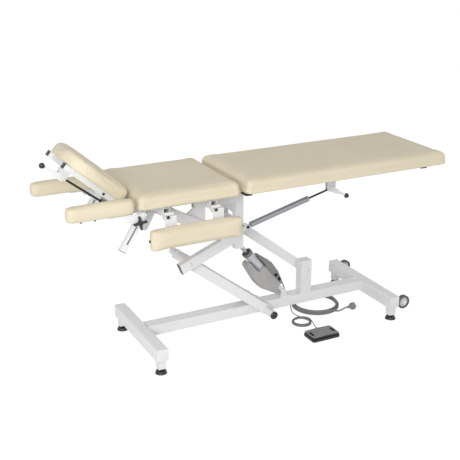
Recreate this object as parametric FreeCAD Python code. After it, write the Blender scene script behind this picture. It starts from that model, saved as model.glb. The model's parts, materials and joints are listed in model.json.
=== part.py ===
# Electric massage table: three padded sections on a parallelogram lift with a floor frame.
#
# Frame: +X towards the leg end, +Y to the far side, +Z up, millimetres.
# The origin is on the floor, at the middle of the table's bounding box.
# Inside this file x is measured from the hinge line between seat and leg section;
# every piece is moved to the origin when it is written.
import FreeCAD, Part

import math
import os

from FreeCAD import Vector as V

os.makedirs("parts", exist_ok=True)

# Padded sections
table_top_z = 854.0
cushion_thick = 67.0
table_width = 512.0
leg_length = 1135.0
seat_length = 496.0
head_length = 325.0
head_width = 340.0
leg_gap = 11.0
seat_gap = 12.0
head_gap = 27.0
head_offset = 22.0
corner_radius = 32.0
head_corner_radius = 130.0
crown_radius = 24.0
cushion_bottom_z = table_top_z - cushion_thick

# Poses in which the table stands
head_raise = 41.0

# Section frames of square tube
frame_tube = 30.0
frame_wall = 2.0
frame_half_span = table_width / 2 - 91.0
cross_tube_height = 42.0
head_tube = 25.0
head_frame_half_span = head_width / 2 - 46.0
hinge_z = cushion_bottom_z - 17.0
hinge_pin_radius = 5.0
hinge_barrel_radius = 12.0
hinge_ear_thick = 6.0
hinge_side_gap = 1.0
running_gap = 0.05
seat_clearance = 0.3

# Floor frame
rail_width = 62.0
rail_height = 52.0
rail_top_z = 130.0
rail_wall = 3.0
foot_bar_width = 56.0
foot_bar_height = 60.0
foot_bar_top_z = 129.0
head_foot_bar_length = 554.0
leg_foot_bar_length = 572.0
head_foot_bar_x = -454.0
leg_foot_bar_x = 823.0
foot_inset = 28.0
foot_block = 36.0
foot_disc_radius = 28.0
foot_disc_height = 13.0
foot_stem_radius = 6.0
foot_stem_show = 12.0
column_length = 60.0
column_width = 52.0
column_x = 449.0
column_top_z = 304.0
wheel_radius = 35.0
wheel_width = 24.0
wheel_centre_z = 86.0
wheel_bar_gap = 1.5
wheel_bracket_thick = 5.0
wheel_axle_radius = 5.0
beyond = 2000.0

# Lift linkage: the lower arms, the upper arm and the top make a parallelogram
base_pivot_x = 223.0
base_pivot_z = 104.0
knee_x = -202.0
knee_z = 433.0
column_pivot_x = 479.0
column_pivot_z = 257.0
arm_depth = 47.0
arm_wall = 3.0
arm_width = 28.0
arm_side_gap = 5.0
pivot_tube_radius = 20.0
pivot_tube_half_length = 146.0
pivot_cap_thick = 6.0
knee_tube_radius = 18.0
knee_tube_far_y = 112.0
knee_shaft_radius = 10.0
hub_radius = 27.0
upper_arm_shaft_radius = 10.0
open_pivot_gap = 0.6
strut_depth = 50.0
strut_width = 30.0
strut_angle = 22.0
strut_overhang = 48.0
plug_thick = 4.0

# Parts that hang under the seat and carry the lift
post_x = 34.0
post_length = 42.0
post_width = 32.0
post_inner_y = 64.0
near_post_bottom_z = 470.0
far_post_drop = 32.0
bearer_height = 40.0
bearer_start_x = -178.0
transom_bottom_z = 648.0
brace_top_x = -281.0
brace_top_z = 721.0
brace_angle = 29.5
brace_depth = 50.0
gusset_thick = 8.0
gusset_right_x = -117.0
gusset_left_x = -212.0

# Actuator
actuator_base_x = 350.0
actuator_base_z = 158.0
actuator_top_x = 98.0
actuator_top_z = 455.0
actuator_rod_radius = 10.0
actuator_bore_radius = 20.0
actuator_tube_radius = 24.0
actuator_tube_start = 204.0
actuator_tube_end = 319.0
actuator_rod_rest = 36.0
actuator_collar_length = 15.0
actuator_body_width = 66.0
actuator_body_depth = 74.0
actuator_body_end = 278.0
actuator_pin_radius = 6.0
actuator_body_corner = 9.0
control_box_width = 52.0
control_box_depth = 56.0
control_box_start = 44.0
control_box_end = 266.0
control_box_corner = 4.0
control_box_sockets = (68.0, 100.0)
socket_length = 22.0
socket_depth = 6.0

# Gas springs, in one plane beside the lift
spring_y = -80.0
spring_radius = 14.0
spring_bore = 12.0
spring_rod_radius = 5.0
spring_eye_radius = 11.0
spring_eye_width = 12.0
spring_pin_radius = 5.0
fork_gap = 1.0
fork_plate = 4.0
leg_spring_low_x = 102.0
leg_spring_low_z = 570.0
leg_spring_high_x = 567.0
leg_spring_high_z = 692.0
leg_spring_cylinder_length = 350.0
leg_spring_rod_length = 340.0
head_spring_low_x = -420.0
head_spring_low_z = 650.0
head_spring_high_u = 303.0
head_spring_high_n = -42.0
head_spring_cylinder_length = 250.0
head_spring_rod_length = 260.0

# Release levers
lever_length = 100.0
lever_thick = 6.0
lever_knob_radius = 10.0
leg_lever_angle = -27.0
head_lever_angle = 142.0

# Armrests
armrest_length = 300.0
armrest_width = 70.0
armrest_thick = 67.0
armrest_inner_y = table_width / 2 - 46.0
armrest_end_x = -524.0
armrest_lean = 57.4
armrest_rail_depth = 30.0
armrest_rail_width = 26.0
armrest_rail_length = 190.0
armrest_rail_top_x = -486.0
armrest_rail_top_z = 786.0
far_armrest_lower = 29.0
star_radius = 31.0
star_thick = 13.0
star_distance = 46.0
sleeve_length = 40.0
sleeve_wall = 4.0
sleeve_gap = 0.3

# Side pads on their hinges
side_pad_length = 426.0
side_pad_height = 98.0
side_pad_thick = 56.0
side_pad_centre_x = -270.0
side_pad_bottom_z = 628.0
side_pad_gap = 42.0
swing_plate_width = 52.0
swing_plate_thick = 4.0
swing_pivot_y = table_width / 2 + 10.0
swing_pivot_z = 762.0
swing_pivot_x = (-379.0, -153.0)
swing_eye_radius = 11.0
swing_pin_radius = 5.0

# Foot switch and cords
switch_x = 349.0
switch_y = -318.0
switch_length = 156.0
switch_depth = 98.0
switch_height = 25.0
switch_rim = 12.0
pedal_axis_z = 10.5
pedal_pin_radius = 3.0
tread_margin = 3.0
tread_thick = 9.0
tread_fall = 2.5
slot_width = 13.0
slot_inset = 9.0
slot_end = 26.0
mains_cord_radius = 4.0
mains_coil_radius = 128.0
mains_coil_x = 588.0
mains_coil_y = 50.0
pedal_cord_radius = 2.5
pedal_coil_radius = 52.0
pedal_coil_x = 414.0
pedal_coil_y = -98.0
mains_coil_band = 17.0
mains_coil_height = 24.7
pedal_coil_band = 10.0
pedal_coil_height = 15.5
mains_gland = (730.0, 97.0)
pedal_gland = (412.0, 10.0)
gland_length = 14.0
mains_route = ((730, 45.2, 97), (730, 92, 97), (722, 130, 68), (700, 146, 33), (668, 152, 8), (630.3, 166.2, 4.2))
mains_plug_route = ((577.2, -73.2, 20.5), (612, -77, 20.5), (642, -79.5, 9), (668, -80, 10.5), (690, -80, 19.3),
                    (705.9, -80, 19.3))
pedal_route = ((412, 10, 63.8), (412, 10, 38), (420, 4, 11), (434, -20, 3), (448, -50, 2.7), (460.5, -81.1, 2.7))
pedal_switch_route = ((461.8, -110.8, 12.9), (458, -135, 12), (450, -165, 3.6), (446, -190, 6.5), (446, -207.9, 6.5))

FAR = 1
NEAR = -1


def box(x0, x1, y0, y1, z0, z1):
    return Part.makeBox(x1 - x0, y1 - y0, z1 - z0, V(x0, y0, z0))


def cyl_x(x0, x1, y, z, radius):
    return Part.makeCylinder(radius, x1 - x0, V(x0, y, z), V(1, 0, 0))


def cyl_y(x, z, y0, y1, radius):
    return Part.makeCylinder(radius, y1 - y0, V(x, y0, z), V(0, 1, 0))


def cyl_z(x, y, z0, z1, radius):
    return Part.makeCylinder(radius, z1 - z0, V(x, y, z0), V(0, 0, 1))


def lift_end(shape, x, z, degrees):
    # Turns about a line along Y; a positive angle lifts the +X end.
    turned = shape.copy()
    turned.rotate(V(x, 0, z), V(0, 1, 0), -degrees)
    return turned


def joined(first, *others):
    shape = first
    for other in others:
        shape = shape.fuse(other)
    return shape.removeSplitter()


def rounded_block(x0, x1, y0, y1, z0, z1, corner, crown):
    # A soft pad: rounded in plan, with rounded edges above and below.
    block = box(x0, x1, y0, y1, z0, z1)
    upright = [e for e in block.Edges if abs(e.Vertexes[0].Z - e.Vertexes[1].Z) > 1.0]
    block = block.makeFillet(corner, upright)
    top = [e for e in block.Edges if e.BoundBox.ZMin > z1 - 0.01]
    block = block.makeFillet(crown, top)
    bottom = [e for e in block.Edges if e.BoundBox.ZMax < z0 + 0.01]
    return block.makeFillet(crown / 3.0, bottom)


def hollow_x(x0, x1, y0, y1, z0, z1, wall):
    outer = box(x0, x1, y0, y1, z0, z1)
    return outer.cut(box(x0 - 1, x1 + 1, y0 + wall, y1 - wall, z0 + wall, z1 - wall))


def hollow_y(x0, x1, y0, y1, z0, z1, wall):
    outer = box(x0, x1, y0, y1, z0, z1)
    return outer.cut(box(x0 + wall, x1 - wall, y0 - 1, y1 + 1, z0 + wall, z1 - wall))


def closed_y(x0, x1, y0, y1, z0, z1, wall):
    outer = box(x0, x1, y0, y1, z0, z1)
    return outer.cut(box(x0 + wall, x1 - wall, y0 + wall, y1 - wall, z0 + wall, z1 - wall))


def hollow_z(x0, x1, y0, y1, z0, z1, wall):
    outer = box(x0, x1, y0, y1, z0, z1)
    return outer.cut(box(x0 + wall, x1 - wall, y0 + wall, y1 - wall, z0 - 1, z1 + 1))


def plate_y(points, y0, y1):
    # A flat plate in the XZ plane from its corner points.
    wire = Part.makePolygon([V(x, y0, z) for x, z in points] + [V(points[0][0], y0, points[0][1])])
    return Part.Face(wire).extrude(V(0, y1 - y0, 0))


def slot_plate_y(xa, za, xb, zb, radius, y0, y1):
    # A link plate with round ends between two centres.
    length = math.hypot(xb - xa, zb - za)
    angle = math.degrees(math.atan2(zb - za, xb - xa))
    bar = box(xa, xa + length, y0, y1, za - radius, za + radius)
    bar = lift_end(bar, xa, za, angle)
    return joined(bar, cyl_y(xa, za, y0, y1, radius), cyl_y(xb, zb, y0, y1, radius))


def slanted_tube(xa, za, xb, zb, depth, y0, y1, wall, over_a, over_b):
    # A rectangular tube in the XZ plane between two centres, open at its ends.
    length = math.hypot(xb - xa, zb - za)
    angle = math.degrees(math.atan2(zb - za, xb - xa))
    tube = hollow_x(xa - over_a, xa + length + over_b, y0, y1, za - depth / 2, za + depth / 2, wall)
    return lift_end(tube, xa, za, angle)


# Places that several pieces share
leg_end_x = leg_gap + leg_length
seat_head_x = -seat_gap - seat_length
head_hinge_x = seat_head_x - head_offset
frame_bottom_z = cushion_bottom_z - frame_tube
cross_bottom_z = cushion_bottom_z - cross_tube_height
rail_bottom_z = rail_top_z - rail_height
wheel_standoff = wheel_radius + wheel_bar_gap
foot_bar_bottom_z = foot_bar_top_z - foot_bar_height
arm_inner_y = rail_width / 2 + arm_side_gap
arm_outer_y = arm_inner_y + arm_width
upper_pivot_x = knee_x + column_pivot_x - base_pivot_x
upper_pivot_z = knee_z + column_pivot_z - base_pivot_z
post_outer_y = post_inner_y + post_width
strut_outer_y = post_outer_y
strut_inner_y = strut_outer_y - strut_width
bearer_top_z = cross_bottom_z
bearer_bottom_z = bearer_top_z - bearer_height
head_cos = math.cos(math.radians(head_raise))
head_sin = math.sin(math.radians(head_raise))


def head_point(u, n):
    # A place in the raised head section: u along it from the hinge, n above the hinge.
    return (head_hinge_x - u * head_cos + n * head_sin, hinge_z + u * head_sin + n * head_cos)


def raise_head(shape):
    # Pieces of the head section are drawn level and then raised about its hinge.
    return lift_end(shape, head_hinge_x, hinge_z, -head_raise)


head_fork_x, head_fork_z = head_point(head_spring_high_u, head_spring_high_n)
head_knob_x = head_fork_x + lever_length * math.cos(math.radians(head_lever_angle))
table_min_x = head_knob_x - lever_knob_radius
origin_shift = -(table_min_x + leg_end_x) / 2

nodes = {}


def save(name, shape):
    moved = shape.copy()
    moved.translate(V(origin_shift, 0, 0))
    moved.exportStep("parts/" + name + ".step")
    nodes[name] = moved


# Floor frame


def base_rail():
    start = head_foot_bar_x + foot_bar_width
    rail = hollow_x(start, leg_foot_bar_x, -rail_width / 2, rail_width / 2,
                    rail_bottom_z, rail_top_z, rail_wall)
    return rail.cut(cyl_y(base_pivot_x, base_pivot_z, -rail_width, rail_width, pivot_tube_radius))


def foot_bar(x0, length):
    half = length / 2
    bar = closed_y(x0, x0 + foot_bar_width, -half, half, foot_bar_bottom_z, foot_bar_top_z, rail_wall)
    long_edges = [e for e in bar.Edges
                  if e.BoundBox.YLength > length - 1 and e.BoundBox.XLength < 0.01]
    bar = bar.makeFillet(5.0, [e for e in long_edges if e.BoundBox.ZMin > foot_bar_top_z - 0.01])
    block_low = foot_disc_height + foot_stem_show
    for side in (NEAR, FAR):
        y = side * (half - foot_inset)
        x = x0 + foot_bar_width / 2
        block = box(x - foot_block / 2, x + foot_block / 2, y - foot_block / 2, y + foot_block / 2,
                    block_low, foot_bar_bottom_z)
        bar = bar.fuse(block)
        bar = bar.cut(cyl_z(x, y, block_low - 1, foot_bar_bottom_z, foot_stem_radius))
    return bar.removeSplitter()


def wheel_bracket(side):
    # A flat ear on the leg end bar with the wheel's axle on its outer side.
    back = leg_foot_bar_x + foot_bar_width
    centre = back + wheel_standoff
    y1 = side * (wheel_centre_y() - wheel_width / 2 - seat_clearance)
    y0 = y1 - side * wheel_bracket_thick
    ear = plate_y([(back, foot_bar_top_z - 4), (back, foot_bar_bottom_z + 4),
                   (centre + 6, wheel_centre_z - 14), (centre + 14, wheel_centre_z),
                   (centre + 6, wheel_centre_z + 14)], min(y0, y1), max(y0, y1))
    tip = side * (wheel_centre_y() + wheel_width / 2 + seat_clearance)
    axle = cyl_y(centre, wheel_centre_z, min(y0, tip), max(y0, tip), wheel_axle_radius)
    head = cyl_y(centre, wheel_centre_z, min(tip, tip + side * 5), max(tip, tip + side * 5),
                 wheel_axle_radius * 1.8)
    return joined(ear, axle, head)


def wheel_centre_y():
    return leg_foot_bar_length / 2 - 16.0


def leg_foot_bar():
    bar = foot_bar(leg_foot_bar_x, leg_foot_bar_length)
    return joined(bar, wheel_bracket(NEAR), wheel_bracket(FAR))


def wheel(side):
    centre = leg_foot_bar_x + foot_bar_width + wheel_standoff
    half = wheel_width / 2
    profile = Part.makePolygon([
        V(0, -half, wheel_axle_radius + running_gap), V(0, -half, 17), V(0, -half + 5, 20),
        V(0, -half + 5, wheel_radius - 9), V(0, -half, wheel_radius - 7), V(0, -half, wheel_radius - 3),
        V(0, -half + 3, wheel_radius), V(0, half - 3, wheel_radius), V(0, half, wheel_radius - 3),
        V(0, half, wheel_radius - 7), V(0, half - 5, wheel_radius - 9), V(0, half - 5, 20),
        V(0, half, 17), V(0, half, wheel_axle_radius + running_gap),
        V(0, -half, wheel_axle_radius + running_gap)])
    tyre = Part.Face(profile).revolve(V(0, 0, 0), V(0, 1, 0), 360)
    tyre.translate(V(centre, side * wheel_centre_y(), wheel_centre_z))
    return tyre


def levelling_feet():
    feet = []
    for x0, length in ((head_foot_bar_x, head_foot_bar_length), (leg_foot_bar_x, leg_foot_bar_length)):
        for side in (NEAR, FAR):
            x = x0 + foot_bar_width / 2
            y = side * (length / 2 - foot_inset)
            disc = Part.makeCone(foot_disc_radius, foot_disc_radius * 0.82, foot_disc_height, V(x, y, 0))
            stem = cyl_z(x, y, foot_disc_height - 1, foot_bar_bottom_z - 2, foot_stem_radius)
            nut = cyl_z(x, y, foot_disc_height, foot_disc_height + 6, foot_stem_radius * 1.8)
            feet.append(joined(disc, stem, nut))
    return Part.makeCompound(feet)


def column_post():
    half = column_width / 2
    post = box(column_x, column_x + column_length, -half, half, rail_top_z, column_top_z)
    post = post.cut(box(column_x + rail_wall, column_x + column_length - rail_wall,
                        -half + rail_wall, half - rail_wall, rail_top_z - 1, column_top_z - rail_wall))
    arm_far_y = half + arm_side_gap + arm_width
    shaft = cyl_y(column_pivot_x, column_pivot_z, -half - 4, arm_far_y + 1, upper_arm_shaft_radius)
    washer = cyl_y(column_pivot_x, column_pivot_z, arm_far_y + 0.5, arm_far_y + 5, 17)
    head = cyl_y(column_pivot_x, column_pivot_z, -half - 4, -half, 9)
    return joined(post, shaft, washer, head)


def domed_cap(x, face, z, side):
    # A plastic cap: a short skirt-wide disc with a bevelled rim.
    straight = pivot_cap_thick / 2
    disc = Part.makeCylinder(pivot_tube_radius, straight, V(x, face, z), V(0, side, 0))
    bevel = Part.makeCone(pivot_tube_radius, pivot_tube_radius - straight, straight,
                          V(x, face + side * straight, z), V(0, side, 0))
    return joined(disc, bevel)


def base_pivot_tube():
    half = pivot_tube_half_length
    tube = cyl_y(base_pivot_x, base_pivot_z, -half, half, pivot_tube_radius)
    tube = tube.cut(cyl_y(base_pivot_x, base_pivot_z, -half - 1, half + 1, pivot_tube_radius - 3))
    caps = []
    for side in (NEAR, FAR):
        caps.append(domed_cap(base_pivot_x, side * half, base_pivot_z, side))
    return Part.makeCompound([tube] + caps)


def actuator_bracket():
    x = actuator_base_x
    z = actuator_base_z
    plate = box(x - 20, x + 34, -28, 28, rail_top_z, rail_top_z + 5)
    cheeks = []
    for side in (NEAR, FAR):
        y0 = side * 15.0
        y1 = side * 20.0
        cheek = plate_y([(x - 18, rail_top_z + 4), (x + 22, rail_top_z + 4), (x + 12, z + 8),
                         (x + 4, z + 13), (x - 8, z + 12), (x - 13, z + 4)], min(y0, y1), max(y0, y1))
        cheeks.append(cheek)
    pin = cyl_y(x, z, -24, 24, actuator_pin_radius)
    return joined(plate, cheeks[0], cheeks[1], pin)


# Lift linkage


def lower_arm(side):
    y0 = min(side * arm_inner_y, side * arm_outer_y)
    y1 = max(side * arm_inner_y, side * arm_outer_y)
    tube = slanted_tube(base_pivot_x, base_pivot_z, knee_x, knee_z, arm_depth, y0, y1, arm_wall, 14, 14)
    low_hub = cyl_y(base_pivot_x, base_pivot_z, y0, y1, hub_radius)
    high_hub = cyl_y(knee_x, knee_z, y0, y1, arm_depth / 2)
    arm = joined(tube, low_hub, high_hub)
    arm = arm.cut(cyl_y(base_pivot_x, base_pivot_z, y0 - 1, y1 + 1, pivot_tube_radius + running_gap))
    return arm.cut(cyl_y(knee_x, knee_z, y0 - 1, y1 + 1, knee_tube_radius))


def knee_tube():
    near_end = -arm_outer_y
    tube = cyl_y(knee_x, knee_z, near_end, knee_tube_far_y, knee_tube_radius)
    tube = tube.cut(cyl_y(knee_x, knee_z, near_end + 10, knee_tube_far_y + 1, knee_tube_radius - 3))
    shaft = cyl_y(knee_x, knee_z, -strut_outer_y - 2, near_end + 5, knee_shaft_radius)
    return joined(tube, shaft)


def upper_arm():
    y0 = column_width / 2 + arm_side_gap
    y1 = y0 + arm_width
    arm = slanted_tube(column_pivot_x, column_pivot_z, upper_pivot_x, upper_pivot_z,
                       arm_depth, y0, y1, arm_wall, 10, 24)
    low_hub = cyl_y(column_pivot_x, column_pivot_z, y0, y1, arm_depth / 2)
    high_hub = cyl_y(upper_pivot_x, upper_pivot_z, y0, y1, 16)
    arm = joined(arm, low_hub, high_hub)
    arm = arm.cut(cyl_y(column_pivot_x, column_pivot_z, y0 - 1, y1 + 1, upper_arm_shaft_radius + running_gap))
    return arm.cut(cyl_y(upper_pivot_x, upper_pivot_z, y0 - 1, y1 + 1, upper_arm_shaft_radius + open_pivot_gap))


# What hangs under the seat


def near_post():
    post = hollow_z(post_x, post_x + post_length, -post_outer_y, -post_inner_y,
                    near_post_bottom_z, bearer_bottom_z, arm_wall)
    y0 = spring_y - spring_eye_width / 2 - fork_gap - fork_plate
    y1 = spring_y + spring_eye_width / 2 + fork_gap + fork_plate
    right = post_x + post_length
    fork = plate_y([(right, leg_spring_low_z + 22), (leg_spring_low_x + 4, leg_spring_low_z + 11),
                    (leg_spring_low_x + 11, leg_spring_low_z), (leg_spring_low_x + 4, leg_spring_low_z - 11),
                    (right, leg_spring_low_z - 22)], y0, y1)
    fork = fork.cut(box(right, leg_spring_low_x + 20, y0 + fork_plate, y1 - fork_plate,
                        leg_spring_low_z - 30, leg_spring_low_z + 30))
    pin = cyl_y(leg_spring_low_x, leg_spring_low_z, y0 - 3, y1 + 3, spring_pin_radius)
    return joined(post, fork, pin)


def far_post():
    low = upper_pivot_z - far_post_drop
    post = box(post_x, post_x + post_length, post_inner_y, post_outer_y, low, bearer_bottom_z)
    post = post.cut(box(post_x + arm_wall, post_x + post_length - arm_wall, post_inner_y + arm_wall,
                        post_outer_y - arm_wall, low - 1, bearer_bottom_z + 1))
    inner = column_width / 2 + arm_side_gap
    shaft = cyl_y(upper_pivot_x, upper_pivot_z, inner - 4, post_outer_y + 3, upper_arm_shaft_radius)
    washer = cyl_y(upper_pivot_x, upper_pivot_z, inner - 4, inner - 1, 15)
    return joined(post, shaft, washer)


def transom():
    return hollow_y(post_x, post_x + post_length, -post_inner_y, post_inner_y,
                    transom_bottom_z, bearer_bottom_z, arm_wall)


def under_seat_cradle():
    pair = [transom()]
    for side in (NEAR, FAR):
        y0 = min(side * post_inner_y, side * post_outer_y)
        y1 = max(side * post_inner_y, side * post_outer_y)
        pair.append(hollow_x(bearer_start_x, post_x + post_length, y0, y1,
                             bearer_bottom_z, bearer_top_z, arm_wall))
    return Part.makeCompound(pair)


def strut_line():
    slope = math.tan(math.radians(strut_angle))
    return post_x, knee_z + (post_x - knee_x) * slope


def strut_envelope():
    length = math.hypot(post_x - knee_x, strut_line()[1] - knee_z)
    solid = box(knee_x - strut_overhang, knee_x + length + 30, -strut_outer_y, -strut_inner_y,
                knee_z - strut_depth / 2, knee_z + strut_depth / 2)
    return lift_end(solid, knee_x, knee_z, strut_angle)


def near_strut():
    end_x, end_z = strut_line()
    tube = slanted_tube(knee_x, knee_z, end_x, end_z, strut_depth, -strut_outer_y, -strut_inner_y,
                        arm_wall, strut_overhang, 30)
    tube = tube.cut(box(post_x, post_x + beyond, -beyond, beyond, 0, beyond))
    hub = cyl_y(knee_x, knee_z, -strut_outer_y, -strut_inner_y, 16)
    tube = joined(tube, hub)
    tube = tube.cut(cyl_y(knee_x, knee_z, -beyond, 0, knee_shaft_radius + running_gap))
    plug = box(knee_x - strut_overhang - plug_thick, knee_x - strut_overhang, -strut_outer_y, -strut_inner_y,
               knee_z - strut_depth / 2, knee_z + strut_depth / 2)
    plug = lift_end(plug, knee_x, knee_z, strut_angle)
    return Part.makeCompound([tube, plug])


def diagonal_brace():
    slope = math.tan(math.radians(brace_angle))
    cross_x = swing_pivot_x[0] + frame_tube / 2
    start_z = brace_top_z - (cross_x - brace_top_x) * slope
    half = brace_depth / 2 / math.cos(math.radians(brace_angle))
    end_x = post_x
    end_z = brace_top_z - (end_x - brace_top_x) * slope
    bar = slanted_tube(cross_x, start_z - half, end_x, end_z - half, brace_depth,
                       -strut_outer_y, -strut_inner_y, arm_wall, 40, 0)
    bar = bar.cut(box(-beyond, cross_x, -beyond, beyond, 0, beyond))
    bar = bar.cut(box(post_x, beyond, -beyond, beyond, 0, beyond))
    bar = bar.cut(box(-beyond, beyond, -beyond, beyond, cross_bottom_z, beyond))
    bar = bar.cut(box(bearer_start_x, post_x, -post_outer_y, -post_inner_y, bearer_bottom_z, bearer_top_z))
    bar = bar.cut(strut_envelope())
    y_mid = -(strut_outer_y + strut_inner_y) / 2
    right_z = brace_top_z - (gusset_right_x - brace_top_x) * slope
    left_z = brace_top_z - (gusset_left_x - brace_top_x) * slope
    gusset = plate_y([(gusset_right_x, bearer_bottom_z), (gusset_right_x, right_z),
                      (gusset_left_x, left_z), (bearer_start_x, bearer_bottom_z)],
                     y_mid - gusset_thick / 2, y_mid + gusset_thick / 2)
    pieces = sorted(bar.Solids, key=lambda s: -s.Volume)
    return joined(pieces[0], gusset)


def rod_lug():
    # A square arm across from the near post, with two cheeks for the actuator's rod eye.
    right = post_x + post_length
    low = near_post_bottom_z + 4
    arm = hollow_y(post_x + 4, right - 4, -post_inner_y, 22, low, low + 34, arm_wall)
    cheeks = []
    for side in (NEAR, FAR):
        y0 = side * 14.0
        y1 = side * 19.0
        cheek = plate_y([(right - 4, low + 34), (right - 4, low), (actuator_top_x - 4, actuator_top_z - 13),
                         (actuator_top_x + 10, actuator_top_z - 6), (actuator_top_x + 11, actuator_top_z + 8)],
                        min(y0, y1), max(y0, y1))
        cheeks.append(cheek)
    pin = cyl_y(actuator_top_x, actuator_top_z, -22, 22, actuator_pin_radius)
    return joined(arm, cheeks[0], cheeks[1], pin)


# Section frames


def side_tubes(x0, x1, z0, z1, half_span, width, wall):
    pair = []
    for side in (NEAR, FAR):
        y0 = min(side * half_span, side * (half_span - width))
        pair.append(hollow_x(x0, x1, y0, y0 + width, z0, z1, wall))
    return pair


def hinge_ears(x_edge, x_pin, half_span, width, z_pin, radius):
    # Two ears on each side tube; they reach past the tube's end to the hinge pin.
    ears = []
    inward = 24.0 if x_pin > x_edge else -24.0
    for side in (NEAR, FAR):
        outer = side * half_span
        inner = side * (half_span - width)
        for face, direction in ((outer, side), (inner, -side)):
            y0 = min(face, face + direction * hinge_ear_thick)
            y1 = y0 + hinge_ear_thick
            ears.append(slot_plate_y(x_edge - inward, z_pin, x_pin, z_pin, radius, y0, y1))
    return ears


def hinge_barrels(x_edge, x_pin, half_span, width, z_pin, radius):
    # The other leaf: a barrel at the end of each side tube, between the two ears.
    barrels = []
    for side in (NEAR, FAR):
        mid = side * (half_span - width / 2)
        half = width / 2 - hinge_side_gap
        barrel = cyl_y(x_pin, z_pin, mid - half, mid + half, radius)
        web = box(min(x_pin, x_edge), max(x_pin, x_edge), mid - half, mid + half,
                  z_pin - radius * 0.7, z_pin + radius * 0.7)
        barrels.append(barrel.fuse(web))
    return barrels


def pin_holes(x_pin, z_pin, gap):
    return cyl_y(x_pin, z_pin, -300, 300, hinge_pin_radius + gap)


def seat_frame():
    x0 = seat_head_x + 8
    x1 = -seat_gap
    frame = side_tubes(x0, x1, frame_bottom_z, cushion_bottom_z, frame_half_span, frame_tube, frame_wall)
    frame += hinge_ears(x1, 0, frame_half_span, frame_tube, hinge_z, hinge_barrel_radius)
    frame += hinge_ears(x0, head_hinge_x, frame_half_span, frame_tube, hinge_z, hinge_barrel_radius)
    for pivot_x in swing_pivot_x:
        half = frame_tube / 2
        reach = swing_pivot_y - swing_eye_radius - 4
        frame.append(hollow_y(pivot_x - half, pivot_x + half, -reach, reach,
                              cross_bottom_z, cushion_bottom_z, frame_wall))
        for side in (NEAR, FAR):
            frame.append(swing_barrel(pivot_x, side, reach))
    frame.append(head_spring_lug())
    shape = joined(*frame)
    for side in (NEAR, FAR):
        shape = shape.cut(cyl_x(-500, 0, side * swing_pivot_y, swing_pivot_z, swing_pin_radius + running_gap))
    return joined(shape, *hinge_pins())


def swing_barrel(pivot_x, side, reach):
    # A barrel on the cross tube's end, between the cheeks of a side pad's hinge plate.
    half = swing_plate_width / 2 - swing_plate_thick - hinge_side_gap
    barrel = cyl_x(pivot_x - half, pivot_x + half, side * swing_pivot_y, swing_pivot_z, swing_eye_radius - 2)
    web = box(pivot_x - frame_tube / 2, pivot_x + frame_tube / 2, min(side * (reach - 1), side * swing_pivot_y),
              max(side * (reach - 1), side * swing_pivot_y), swing_pivot_z - 6, swing_pivot_z + 6)
    return barrel.fuse(web)


def head_spring_lug():
    # Two long cheeks under a cross tube, with the pin for the head spring's eye.
    y0 = spring_y - spring_eye_width / 2 - fork_gap - fork_plate
    y1 = spring_y + spring_eye_width / 2 + fork_gap + fork_plate
    x = head_spring_low_x
    z = head_spring_low_z
    left = swing_pivot_x[0] - frame_tube / 2
    right = swing_pivot_x[0] + frame_tube / 2
    fork = plate_y([(left, cross_bottom_z), (x - 11, z + 8), (x - 9, z - 8), (x + 2, z - 12), (x + 13, z - 6),
                    (right, cross_bottom_z - 20), (right, cross_bottom_z)], y0, y1)
    fork = fork.cut(box(x - 40, right + 10, y0 + fork_plate, y1 - fork_plate, z - 40, cross_bottom_z - 8))
    pin = cyl_y(x, z, y0 - 3, y1 + 3, spring_pin_radius)
    return joined(fork, pin)


def hinge_pins():
    pins = []
    for x_pin in (0.0, head_hinge_x):
        for side in (NEAR, FAR):
            outer = frame_half_span + hinge_ear_thick
            inner = frame_half_span - frame_tube - hinge_ear_thick
            y0 = min(side * outer, side * inner)
            y1 = max(side * outer, side * inner)
            pins.append(cyl_y(x_pin, hinge_z, y0 - 2, y1 + 2, hinge_pin_radius))
    return pins


def leg_frame():
    x0 = seat_gap
    x1 = leg_end_x - 46
    frame = side_tubes(x0, x1, frame_bottom_z, cushion_bottom_z, frame_half_span, frame_tube, frame_wall)
    frame += hinge_barrels(x0, 0, frame_half_span, frame_tube, hinge_z, hinge_barrel_radius)
    half = frame_tube / 2
    for x in (135.0, leg_spring_high_x, x1 - half):
        frame.append(hollow_y(x - half, x + half, -frame_half_span, frame_half_span,
                              frame_bottom_z, cushion_bottom_z, frame_wall))
    frame.append(spring_fork_level(leg_spring_high_x, leg_spring_high_z, frame_bottom_z))
    shape = joined(*frame)
    return shape.cut(pin_holes(0, hinge_z, running_gap))


def spring_fork_level(x, z, top):
    # Two cheeks under a cross tube with the pin for a spring's eye and a release lever.
    y0 = spring_y - spring_eye_width / 2 - fork_gap - fork_plate
    y1 = spring_y + spring_eye_width / 2 + fork_gap + fork_plate
    fork = plate_y([(x - 26, top), (x - 20, z - 4), (x - 12, z - 13), (x + 14, z - 13), (x + 24, z - 4),
                    (x + 26, top)], y0, y1)
    fork = fork.cut(box(x - 40, x + 40, y0 + fork_plate, y1 - fork_plate, z - 30, top - 6))
    pin = cyl_y(x, z, y0 - 2, y1 + 2, spring_pin_radius)
    return joined(fork, pin)


def leg_cushion():
    half = table_width / 2
    return rounded_block(leg_gap, leg_end_x, -half, half, cushion_bottom_z, table_top_z,
                         corner_radius, crown_radius)


def seat_cushion():
    half = table_width / 2
    return rounded_block(seat_head_x, -seat_gap, -half, half, cushion_bottom_z, table_top_z,
                         corner_radius, crown_radius)


# Head section, drawn level


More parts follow.
